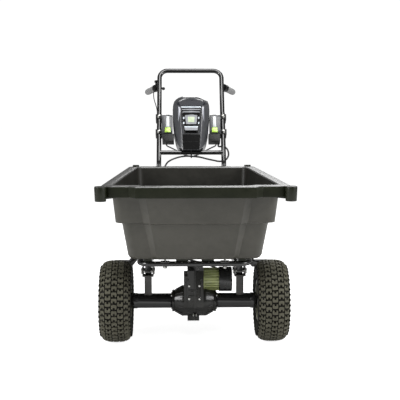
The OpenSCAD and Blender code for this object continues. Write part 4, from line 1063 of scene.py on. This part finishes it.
@dataclass
class DriveWheel:
    """A turf tyre on a painted steel rim, with its hub and nuts."""

    shop: Workshop
    side: int
    outer: float = 160.0
    half_width: float = 61.0
    tread_deep: float = 6.0
    rows: int = 42

    @property
    def name(self) -> str:
        """Return left or right."""
        return "left" if self.side < 0 else "right"

    def section_radius(self, x: float) -> float:
        """Return the tyre's outside radius at a distance from its middle plane."""
        share = min(abs(x) / self.half_width, 1.0)
        return 115 + 45 * (1 - share ** 3) ** (1 / 3)

    def carcass(self) -> Shape:
        """Return the tyre body with its sidewall rings, under the tread."""
        crown = self.outer - self.tread_deep
        upper = []
        for i in range(13):
            x = 56.0 * i / 12
            upper.append((min(self.section_radius(x), self.outer) - self.tread_deep, x))
        upper[0] = (crown, 0.0)
        wall = [(137.5, 57.6), (133.0, 58.6), (131.6, 60.2), (129.8, 60.2), (128.4, 59.7),
                (121, 61.0), (112.5, 60.9), (111.4, 61.9), (109.6, 61.9), (108.4, 60.4),
                (101, 58.6), (94.5, 55.2), (93.2, 56.1), (91.6, 55.6), (90.5, 52.6),
                (85, 48.2), (82.6, 47.6), (79.5, 46.0), (76.4, 44.0), (76.4, 36.0),
                (84, 40.0), (100, 50.0), (115, 52.5), (132, 49.0), (143, 38.0),
                (148.5, 20.0)]
        half = upper + wall
        profile = half + [(r, -x) for r, x in reversed(half) if x > 0]
        return turned(profile, 128)

    def block_on_crown(self, outline: Sequence[tuple[float, float]], middle: float,
                       height: float, sink: float = 2.0, draft: float = 0.88) -> Shape:
        """Return a tread block, standing on the tyre at its top point.

        Args:
            outline: anticlockwise points across and along the tread, from its middle.
            middle: how far the block's middle is from the tyre's middle plane.
            height: how far it stands out of the carcass.
            sink: how deep its root goes into the carcass.
            draft: the size of the top as a share of the root.

        Returns:
            The block, in wheel millimetres from the wheel's centre.
        """
        rings = []
        for lift, scale in ((-sink, 1.0), (height - 0.9, 0.93), (height, draft)):
            ring = []
            for across, along in outline:
                x = middle + across * scale
                r = self.section_radius(x) - self.tread_deep + lift
                turn = along * scale / self.outer
                ring.append((x, r * math.sin(turn), r * math.cos(turn)))
            rings.append(ring)
        return loft(rings)

    def tread(self) -> list[bpy.types.Mesh]:
        """Return the baked rows of tread blocks and shoulder lugs."""
        cup = [(-11.0, -7.2), (-7.4, -9.6), (7.4, -9.6), (11.0, -7.2), (11.0, 6.4),
               (6.2, 9.4), (4.4, 7.6), (4.0, 1.4), (-4.0, 1.4), (-4.4, 7.6),
               (-6.2, 9.4), (-11.0, 6.4)]
        flipped = [(x, -y) for x, y in reversed(cup)]
        edge = [(x * 0.74, y) for x, y in cup]
        lug = [(-3.2, -8.4), (3.0, -6.6), (3.0, 6.6), (-3.2, 8.4)]
        pitch = 2 * math.pi / self.rows
        columns = [(cup, 0.0, 0.0), (flipped, -23.6, 0.5), (flipped, 23.6, 0.5),
                   (edge, -44.4, 0.0), (edge, 44.4, 0.0)]
        material = self.shop.finishes.material(TREAD)
        centre = Place.wheel(self.side).translation
        turn = Place.wheel(self.side).to_3x3().to_4x4()
        meshes = []
        for outline, middle, phase in columns:
            shape = self.block_on_crown(outline, middle, self.tread_deep).moved(turn)
            meshes.append(self.shop.patterns.repeat(
                shape, self.rows, material, (pitch, 0, 0), (pitch * phase, 0, 0), centre))
        for middle in (-56.0, 56.0):
            outline = lug if middle < 0 else [(-x, y) for x, y in reversed(lug)]
            shape = self.block_on_crown(outline, middle, self.tread_deep - 1.4)
            meshes.append(self.shop.patterns.repeat(
                shape.moved(turn), self.rows, material, (pitch, 0, 0),
                (pitch * 0.5, 0, 0), centre))
        bar = block((57.6, -3.2, 122.5), (60.9, 3.2, 139.5))
        rubber = self.shop.finishes.material(CARCASS)
        for flip in (1, -1):
            shape = bar.moved(Matrix.Scale(flip, 4, (1, 0, 0))).moved(turn)
            meshes.append(self.shop.patterns.repeat(
                shape, self.rows, rubber, (pitch, 0, 0), (0, 0, 0), centre))
        return meshes

    def build(self) -> None:
        """Build the wheel on its body."""
        shop, name, body = self.shop, self.name, f"{self.name}_wheel"
        shop.shaped(f"tyre_body_{name}", self.carcass().moved(Place.wheel(self.side)),
                    body, CARCASS, replaces=[f"tyre_{name}"], sharp=40)
        for number, mesh in enumerate(self.tread()):
            shop.piece(f"tread_{name}_{number}", face_outwards(mesh), body,
                       TREAD if number < 7 else CARCASS, sharp=30)
        shop.refined(f"rim_{name}", RIM_PAINT, 0.7, 28)
        shop.refined(f"half_shaft_{name}", STEEL, 0.5)
        shop.refined(f"wheel_nuts_{name}", ZINC, 0.6)
        valve = capped([(3.6, 0), (3.6, 3), (2.7, 4), (2.7, 21), (3.4, 22), (3.4, 31),
                        (2.6, 33)], 16)
        place = (Place.wheel(self.side) @ Matrix.Translation((22, 0, 66))
                 @ Matrix.Rotation(math.radians(62), 4, "Y"))
        shop.shaped(f"valve_stem_{name}", valve.moved(place), body, JACKET, edge=0.3)


# ---------------------------------------------------------------- chassis


@dataclass
class Chassis:
    """Rails, posts, beam, casters and the latch."""

    shop: Workshop

    def build(self) -> None:
        """Build the frame parts and the casters."""
        shop = self.shop
        for node in ("chassis_rails", "rear_beam", "latch_crossbar"):
            shop.refined(node, BLACK_COAT, 1.6, 35, 3)
        shop.refined("axle_posts", CHARCOAL_COAT, 1.0, 35, 3)
        for node in ("pivot_bolts", "caster_plates"):
            shop.refined(node, ZINC, 0.6)
        shop.refined("rest_pads", PAD_RUBBER, 2.0, 35, 3)
        shop.refined("latch_lever", LATCH_PAINT, 1.2, 35)
        for side in ("left", "right"):
            shop.refined(f"caster_fork_{side}", ZINC, 0.9, 35)
            shop.refined(f"caster_wheel_{side}", CASTER_TREAD, 1.2, 28)
        self.beads()

    def beads(self) -> None:
        """Add the weld beads where the posts meet their tubes."""
        for side, name in SIDES:
            x = side * POST_X
            path = [Vector((x + 14.4 * math.cos(t), 14.4 * math.sin(t), 186
                            + 1.2 * math.sin(7 * t))) for t in
                    (2 * math.pi * i / 40 for i in range(41))]
            shape = tube(path, 2.3, 8).moved(Place.base())
            self.shop.shaped(f"post_weld_{name}", shape, "chassis", CHARCOAL_COAT,
                             sharp=60)


# ---------------------------------------------------------------- transaxle


@dataclass
class Transaxle:
    """The cast case, its motor and the gears inside it."""

    shop: Workshop
    axle_z: float = 160.0
    rib_count: int = 12

    def ribs(self, side: int) -> bpy.types.Mesh:
        """Return the cast ribs round one bell of the case."""
        outline = ((45, 40), (75, 36), (75, 44.5), (45, 61))
        rib = loft([[(side * x, y, z) for x, z in outline] for y in (-1.6, 1.6)])
        material = self.shop.finishes.material(CASTING)
        centre = Place.at(0, 0, self.axle_z)
        step = 2 * math.pi / self.rib_count
        return self.shop.patterns.repeat(
            rib.moved(Matrix.Scale(MM, 4)), self.rib_count, material, (step, 0, 0),
            (step / 2, 0, 0), centre)

    def build(self) -> None:
        """Build the case, motor and gears."""
        shop = self.shop
        for node in ("transaxle_case_left", "transaxle_case_right"):
            shop.refined(node, CASTING, 1.4, 30, 3)
        shop.refined("axle_tubes", BLACK_COAT, 0.8, 35)
        shop.refined("transaxle_bolts", ZINC, 0.5)
        shop.refined("motor_housing", MOTOR_PAINT, 0.4, 30)
        shop.refined("motor_end_cap", MOTOR_BLACK, 2.4, 35, 3)
        shop.refined("motor_stator", COPPER, 0.5)
        for node in ("shaft_bearings", "differential_carrier", "ring_gear",
                     "spider_gears", "idler_gear", "motor_rotor"):
            shop.refined(node, STEEL, 0.25, 30)
        for side, name in SIDES:
            shop.piece(f"case_ribs_{name}", face_outwards(self.ribs(side)), "chassis",
                       CASTING, edge=0.7)
        self.face_details()

    def face_details(self) -> None:
        """Add the filler plug, vent and small cast pads on the front of the case."""
        base = Place.base()
        front = Matrix.Rotation(math.radians(90), 4, "X")
        plug = capped([(6.5, 0), (6.5, 3), (5.6, 3.8), (3, 3.8), (2.6, 2.6)], 24)
        spots = ((-8, 45, CASTING, 1.1), (27, 96, CASTING, 0.8), (-27, 96, CASTING, 0.8))
        for number, (x, z, finish, size) in enumerate(spots):
            place = (base @ Matrix.Translation((x, -65.6, self.axle_z + z)) @ front
                     @ Matrix.Scale(size, 4))
            self.shop.shaped(f"case_plug_{number}", plug.moved(place), "chassis", finish,
                             edge=0.3)
        pads = Shape()
        for x0, z0, x1, z1 in ((-36, 8, -30, 88), (26, 8, 32, 88), (-24, 52, 22, 57),
                               (-24, 30, 22, 34)):
            pads.take(block((x0, -69, self.axle_z + z0), (x1, -64, self.axle_z + z1)))
        self.shop.shaped("case_face_ribs", pads.moved(base), "chassis", CASTING,
                         edge=1.2, segments=3)


# ---------------------------------------------------------------- handle


@dataclass
class Handle:
    """The leaning tubes, clamps, grips and hand controls."""

    shop: Workshop
    collar_t: float = 46.0
    grip_end: float = 140.0

    def grip(self, side: int) -> Shape:
        """Return a rubber grip with its flange, swell and end cap."""
        profile = [(11.1, self.collar_t), (18, self.collar_t), (18, self.collar_t + 4),
                   (17, self.collar_t + 5), (14.8, self.collar_t + 6.4)]
        span = self.grip_end - 10 - self.collar_t - 8
        for i in range(25):
            t = i / 24
            swell = 14.6 + 1.3 * math.sin(math.pi * min(t * 1.6, 1)) ** 2
            swell += 1.0 * math.sin(math.pi * max(0, (t - 0.55) / 0.45)) ** 2
            groove = 0.45 if i % 2 else 0.0
            profile.append((swell - groove, self.collar_t + 8 + span * t))
        profile += [(13.2, self.grip_end - 5), (10.5, self.grip_end - 1.4),
                    (6, self.grip_end), (0.4, self.grip_end), (0.4, self.grip_end - 11.2),
                    (11.1, self.grip_end - 11.2)]
        return hooped(profile).moved(Place.grip(side))

    def build(self) -> None:
        """Build the handle and the controls on it."""
        shop = self.shop
        shop.refined("lower_handle", BLACK_COAT, 0.0, 30)
        shop.refined("upper_handle", BLACK_COAT, 0.0, 40)
        shop.refined("handle_clamps", BLACK_PLASTIC, 1.6, 35, 3)
        shop.refined("handle_bolts", ZINC, 0.5, 30)
        for side, name in SIDES:
            grip = shop.shaped(f"grip_{name}", self.grip(side), "chassis", GRIP_RUBBER,
                               sharp=50)
            if side < 0:
                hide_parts("handle_grips")
        shop.refined("grip_collar", BLACK_PLASTIC, 1.2, 35, 3)
        shop.refined("throttle_mount", BLACK_PLASTIC, 1.0, 35)
        shop.refined("throttle_lever", BLACK_PLASTIC, 1.4, 35, 3)
        shop.refined("direction_knob", BLACK_PLASTIC, 0.8, 35)
        self.domes()

    def domes(self) -> None:
        """Add the bright domed heads of the clamp bolts."""
        dome = capped([(8.6, 0), (8.6, 0.8), (8.0, 2.8), (6.4, 4.6), (4.0, 5.8),
                       (1.2, 6.3)], 28)
        heads = Shape()
        for side in (-1, 1):
            for v in (102, 181):
                place = (Place.handle() @ Matrix.Translation((side * HANDLE_X, -19.0, v))
                         @ Matrix.Rotation(math.radians(90), 4, "X"))
                heads.take(dome.moved(place))
        self.shop.shaped("clamp_bolt_domes", heads, "chassis", ZINC, sharp=40)


# ---------------------------------------------------------------- power case


@dataclass
class PowerCase:
    """The battery and motor-control case that hangs between the handle tubes."""

    shop: Workshop
    lid_v: float = 232.0
    strips: int = 36

    def build(self) -> None:
        """Build the case, its front panels, the pods and what is inside."""
        shop = self.shop
        for node in ("power_case_back", "power_case_front", "case_lid"):
            shop.refined(node, CASE_GREY, 3.2, 14, 4)
        shop.refined("vent_panel", CHIN_BLACK, 0.8, 30, 3)
        shop.refined("case_chin", CHIN_BLACK, 1.2, 30, 3)
        shop.refined("side_pods", POD_GREY, 1.5, 20, 3)
        shop.refined("pod_bases", BLACK_PLASTIC, 2.0, 30, 3)
        shop.refined("pod_panels", STRIP_WHITE, 0.8, 30)
        shop.refined("pod_accents", LIME, 1.0, 30)
        shop.refined("control_board", BOARD, 0.2, 30)
        shop.refined("battery_pack", BATTERY, 3.0, 30, 4)
        self.outside = self.surface()
        self.dome_details()
        self.badge()

    def surface(self) -> BVHTree:
        """Return the outside of the case as a tree that rays can meet."""
        points, faces = [], []
        for node in ("power_case_front", "case_lid", "vent_panel", "case_chin"):
            mesh = self.shop.nodes[node].data
            base = len(points)
            points += [v.co.copy() for v in mesh.vertices]
            faces += [[i + base for i in f.vertices] for f in mesh.polygons]
        return BVHTree.FromPolygons(points, faces)

    def skin(self, columns: Sequence[Sequence[tuple[float, float]]], lift: float
             ) -> Shape:
        """Lay a thin sheet on the front of the case.

        Args:
            columns: columns of points across and up the handle frame.
            lift: how far the sheet stands proud, in millimetres.

        Returns:
            The closed sheet, or an empty shape if it misses the case.
        """
        handle = Place.handle()
        inward = (handle.to_3x3() @ Vector((0, 1, 0))).normalized()
        rings = []
        for across, up in ((c, u) for column in columns for c, u in column):
            start = handle @ Vector((across, -170, up))
            hit = self.outside.ray_cast(start, inward)[0]
            rings.append(hit if hit else (rings[-1] if rings else start))
        tall, wide = len(columns[0]), len(columns)
        size = tall * wide
        shape = Shape([p - inward * lift * MM for p in rings]
                      + [p + inward * 1.2 * MM for p in rings])
        for i in range(wide - 1):
            for j in range(tall - 1):
                a = i * tall + j
                quad = [a, a + tall, a + tall + 1, a + 1]
                shape.faces += [quad, [q + size for q in quad[::-1]]]
        rim = ([i * tall for i in range(wide)]
               + [(wide - 1) * tall + j for j in range(1, tall)]
               + [i * tall + tall - 1 for i in range(wide - 2, -1, -1)]
               + [j for j in range(tall - 2, 0, -1)])
        for a, b in zip(rim, rim[1:] + rim[:1]):
            shape.faces.append([b, a, a + size, b + size])
        return shape

    def inlay(self, name: str, low: Callable[[float], float],
              high: Callable[[float], float], half: float, finish: Finish,
              lift: float = 0.7, start: float = 0.0) -> None:
        """Lay a band between two curves, split where the lid opens.

        Args:
            name: the name of the band.
            low: the height of its lower edge at a distance across.
            high: the height of its upper edge at a distance across.
            half: how far it reaches from the middle.
            finish: what it is made of.
            lift: how far it stands proud.
            start: how far from the middle it begins on each side.
        """
        sides = (-1, 1) if start else (0,)
        for body, bottom, top in (("chassis", 0.0, self.lid_v - 0.6),
                                  ("lid", self.lid_v + 0.9, 300.0)):
            form = Shape()
            for side in sides:
                run: list[list[tuple[float, float]]] = []
                for i in range(self.strips + 1):
                    share = i / self.strips
                    x = (side * (start + (half - start) * share) if side
                         else half * (2 * share - 1))
                    a, b = max(low(abs(x)), bottom), min(high(abs(x)), top)
                    if b - a > 0.3:
                        run.append([(x, a + (b - a) * j / 6) for j in range(7)])
                    if run and (b - a <= 0.3 or i == self.strips):
                        if len(run) > 1:
                            form.take(self.skin(run, lift))
                        run = []
            if form.faces:
                self.shop.shaped(f"{name}_{body}", form, body, finish, sharp=35)

    def dome_details(self) -> None:
        """Add the visor, a painted highlight along its lower edge, the crown seams and
        painted highlights on the side facets.
        """
        self.inlay("visor", lambda x: 198 + max(0.0, x - 47) * 0.78,
                   lambda x: 240 - 0.0052 * x * x, 70, VISOR, 1.0)
        # A painted highlight band under the visor.
        self.inlay("visor_highlight_edge", lambda x: 193.4, lambda x: 198.4, 46, SILVER_HIGHLIGHT, 1.5)
        self.inlay("crown_seam", lambda x: 246 - 0.0050 * x * x,
                   lambda x: 248.4 - 0.0050 * x * x, 74, SEAM_BLACK, 0.5)
        self.inlay("crown_line", lambda x: 255.5 - 0.0050 * x * x,
                   lambda x: 257 - 0.0050 * x * x, 68, SEAM_BLACK, 0.5)
        # Painted highlights on the side facets of the case.
        self.inlay("case_highlight_facet", lambda x: 186 - (x - 48) * 4.6 if x > 48 else 0.0,
                   lambda x: 191 + (x - 48) * 0.9, 60, CASE_FACET_HIGHLIGHT, 0.6, start=49.5)
        self.inlay("chin_seam", lambda x: 36.0, lambda x: 37.6, 34, SEAM_BLACK, 0.5)

    def face_plate(self, name: str, outline: Sequence[tuple[float, float]],
                   finish: Finish, near: float, far: float = -2.6,
                   mirrored: bool = False) -> None:
        """Fix a flat plate on the sloping face of the case."""
        shape = Shape()
        for side in ((1, -1) if mirrored else (1,)):
            plate = prism(outline, near, far, 0.02)
            shape.take(plate.moved(Place.face() @ Matrix.Scale(side, 4, (1, 0, 0))))
        self.shop.shaped(name, shape, "chassis", finish, edge=0.5, segments=2)

    def badge(self) -> None:
        """Add the face plates, the blank badge and the pod windows."""
        self.face_plate("face_black", [(-31, 95), (31, 95), (46, 194), (-46, 194)],
                        CHIN_BLACK, -3.7)
        for number, (low, high, wide) in enumerate(((176.5, 180.5, 41.5),
                                                    (187.5, 191, 44.5))):
            self.face_plate(f"face_bar_{number}",
                            [(-wide, low), (wide, low), (wide - 1, high),
                             (0, high + 3), (-wide + 1, high)], CASE_SILVER, -5.0)
        self.face_plate("face_badge_plate", [(-24, 121), (24, 121), (29, 163), (0, 167),
                                             (-29, 163)], CASE_SILVER, -5.0)
        self.face_plate("grille_badge", [(-14.5, 130), (14.5, 130), (16, 156),
                                         (-16, 156)], BADGE, -5.9)
        # Small painted highlights on the silver face.
        for number, low in enumerate((122, 146)):
            self.face_plate(f"face_highlight_chip_{number}", [(31, low), (37, low), (38, low + 9),
                                                    (32, low + 9)],
                            SILVER_HIGHLIGHT, -5.0, mirrored=True)
        self.face_plate("face_lower_bar", [(-29, 92), (29, 92), (32.5, 112),
                                           (-32.5, 112)], CASE_SILVER, -4.8)
        # A painted highlight strip along the lower bar.
        self.face_plate("face_lower_highlight", [(-31, 105), (31, 105), (32.5, 111.5),
                                             (-32.5, 111.5)], SILVER_HIGHLIGHT, -5.3)
        window = prism([(-11, 0), (11, 0), (8.5, 17), (-8.5, 17)], -1.6, 0.6, 0.05)
        windows = Shape()
        for side in (-1, 1):
            place = (Place.handle() @ Matrix.Translation((side * 109, -38.6, 166))
                     @ Matrix.Rotation(math.radians(-32), 4, "X"))
            windows.take(window.moved(place))
        self.shop.shaped("pod_windows", windows, "chassis", CHIN_BLACK, edge=0.6)


# ---------------------------------------------------------------- wiring


@dataclass(frozen=True)
class Lead:
    """A lead along a route: its node, points in axle millimetres and radius."""

    name: str
    node: str
    route: tuple[tuple[float, float, float], ...]
    radius: float


def up_lean(x: float, back: float, up: float) -> tuple[float, float, float]:
    """Return a point of the leaning handle frame in axle millimetres."""
    sin, cos = math.sin(math.radians(LEAN)), math.cos(math.radians(LEAN))
    return (x, HANDLE_Y + up * sin + back * cos, HANDLE_Z + up * cos - back * sin)


THROTTLE_ROUTE = (
    (-176.6, 857, 988.7), (-178.6, 855, 983), (-179, 851, 971), (-177, 843, 954),
    (-171, 832, 933), (-164.5, 814, 913), up_lean(-160.5, 41.5, 232),
    up_lean(-160.5, 40.5, 205), up_lean(-160.5, 41, 180), up_lean(-158, 41, 158),
    up_lean(-146, 42, 144), up_lean(-128, 43, 139), up_lean(-114, 41, 138),
    up_lean(-108, 34.4, 138))
HARNESS_ROUTE = (
    (128, 47.2, 257), (128, 80, 257), (122, 130, 251), (90, 240, 245), (40, 340, 245),
    (-30, 430, 245), (-66, 480, 246), (-88, 508, 254), (-104, 530, 264),
    (-114, 552, 268), (-121, 574, 280), (-126, 592, 306), (-128, 600, 360),
    (-129, 604, 440), (-129, 607, 540), (-128, 611, 620), (-115, 618, 655),
    (-94, 624, 672), (-60, 634, 684), (-29, 642, 688.5), (0, 645, 688), (40, 643, 684),
    (72, 641, 676), (105, 642, 669), (122, 645, 665), (136, 649, 664), (150, 651, 666),
    (163, 653, 673), (172, 659, 686), (174, 666, 700), (170, 674, 716), (158, 682, 729),
    (143, 684, 731), (132, 680, 731), (127, 672, 733), (126, 665.4, 739.6),
    (126, 663.9, 743))
LEAD_ROUTE = (
    (116, 663.9, 743.2), (112, 664, 735), (96, 667, 727), (74, 669, 716), (52, 670, 704),
    (30, 668, 693), (11, 661, 688))


@dataclass
class Wiring:
    """The throttle lead, the motor harness, the two case leads and the tie."""

    shop: Workshop

    def lay(self, lead: Lead, replaces: bool) -> None:
        """Sweep one lead into a round tube.

        Args:
            lead: the lead.
            replaces: whether the piece stands for its node by itself.
        """
        route = [Place.at(*p) for p in smooth_route(lead.route, 8)]
        piece = self.shop.shaped(lead.name, tube(route, lead.radius * MM, 12), "chassis",
                                 JACKET, replaces=[lead.node] if replaces else (),
                                 sharp=50)

    def build(self) -> None:
        """Lay every lead and the tie that holds them."""
        mirror = tuple((-x, y, z) for x, y, z in LEAD_ROUTE)
        self.lay(Lead("throttle_cable", "throttle_lead", THROTTLE_ROUTE, 2.2), True)
        self.lay(Lead("motor_cable", "motor_harness", HARNESS_ROUTE, 4.0), True)
        self.lay(Lead("case_cable_right", "case_leads", LEAD_ROUTE, 3.0), True)
        self.lay(Lead("case_cable_left", "case_leads", mirror, 3.0), False)
        self.shop.refined("cable_tie", BLACK_PLASTIC, 0.5, 35)


# ---------------------------------------------------------------- studio


@dataclass
class Studio:
    """The pale floor, the soft lights and the camera."""

    camera_at: tuple[float, float, float] = (-0.0600, -3.4955, 0.9297)
    yaw: float = 1.487
    pitch: float = 6.582
    lens: float = 75.009

    def camera(self) -> None:
        """Set up the camera in front of the cart."""
        data = bpy.data.cameras.new("camera")
        data.lens = self.lens
        data.sensor_width = 36.0
        data.clip_end = 60.0
        eye = bpy.data.objects.new("camera", data)
        bpy.context.scene.collection.objects.link(eye)
        eye.location = self.camera_at
        eye.rotation_euler = (math.radians(90 - self.pitch), 0.0, math.radians(-self.yaw))
        bpy.context.scene.camera = eye

    def floor(self) -> None:
        """Lay the pale floor."""
        corners = ((-30, -30), (30, -30), (30, 30), (-30, 30))
        shape = loft([[(x, y, z) for x, y in corners] for z in (-0.02, 0)])
        plane = bpy.data.objects.new("studio_floor", shape.mesh("studio_floor"))
        bpy.context.scene.collection.objects.link(plane)
        material = bpy.data.materials.new("pale_floor")
        material.use_nodes = True
        shader = material.node_tree.nodes["Principled BSDF"]
        shader.inputs["Base Color"].default_value = (0.92, 0.92, 0.92, 1)
        shader.inputs["Roughness"].default_value = 0.8
        shader.inputs["Emission Color"].default_value = (1, 1, 1, 1)
        sheet = NodeSheet(material.node_tree)
        seen = sheet.add("ShaderNodeLightPath").outputs["Is Camera Ray"]
        material.node_tree.links.new(sheet.maths("MULTIPLY", seen, 0.86),
                                     shader.inputs["Emission Strength"])
        plane.data.materials.append(material)

    def light(self, name: str, at: Point, aim: Point, size: float, power: float) -> None:
        """Hang a square soft light that looks at a point."""
        data = bpy.data.lights.new(name, "AREA")
        data.size = size
        data.energy = power
        lamp = bpy.data.objects.new(name, data)
        bpy.context.scene.collection.objects.link(lamp)
        lamp.location = at
        lamp.rotation_euler = (Vector(aim) - Vector(at)).to_track_quat("-Z", "Y").to_euler()

    def build(self) -> None:
        """Set up the floor, the lights, the sky and the camera."""
        self.floor()
        bpy.context.scene.view_settings.view_transform = "Standard"
        self.light("top_light", (0.2, -0.9, 3.4), (0, -0.1, 0.5), 1.8, 80)
        self.light("left_light", (-3.2, -2.2, 1.7), (0, 0, 0.6), 1.5, 85)
        self.light("right_light", (3.2, -2.0, 1.7), (0, 0, 0.6), 1.5, 75)
        self.light("back_light", (0.6, 3.4, 2.2), (0, 0, 0.5), 1.8, 30)
        world = bpy.data.worlds.new("studio_sky")
        bpy.context.scene.world = world
        world.use_nodes = True
        tree = world.node_tree
        tree.nodes.clear()
        sheet = NodeSheet(tree)
        seen = sheet.add("ShaderNodeLightPath").outputs["Is Camera Ray"]
        strength = sheet.maths("MULTIPLY_ADD", seen, 0.9, 0.16)
        sky = sheet.add("ShaderNodeBackground", {"Color": (1, 1, 1, 1),
                                                 "Strength": strength})
        out = sheet.add("ShaderNodeOutputWorld")
        tree.links.new(sky.outputs[0], out.inputs["Surface"])
        self.camera()


# ---------------------------------------------------------------- assembly


def main() -> None:
    """Build every sub-assembly."""
    logging.basicConfig(level=logging.INFO, format="%(name)s %(message)s")
    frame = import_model()
    Place.find_axle()
    Studio().build()
    shop = Workshop(frame)
    parts: list[Callable[[], None]] = [
        Wiring(shop).build, Tub(shop).build, DriveWheel(shop, -1).build,
        DriveWheel(shop, 1).build, Chassis(shop).build, Transaxle(shop).build,
        Handle(shop).build, PowerCase(shop).build]
    for build in parts:
        build()


if __name__ == "__main__":
    main()
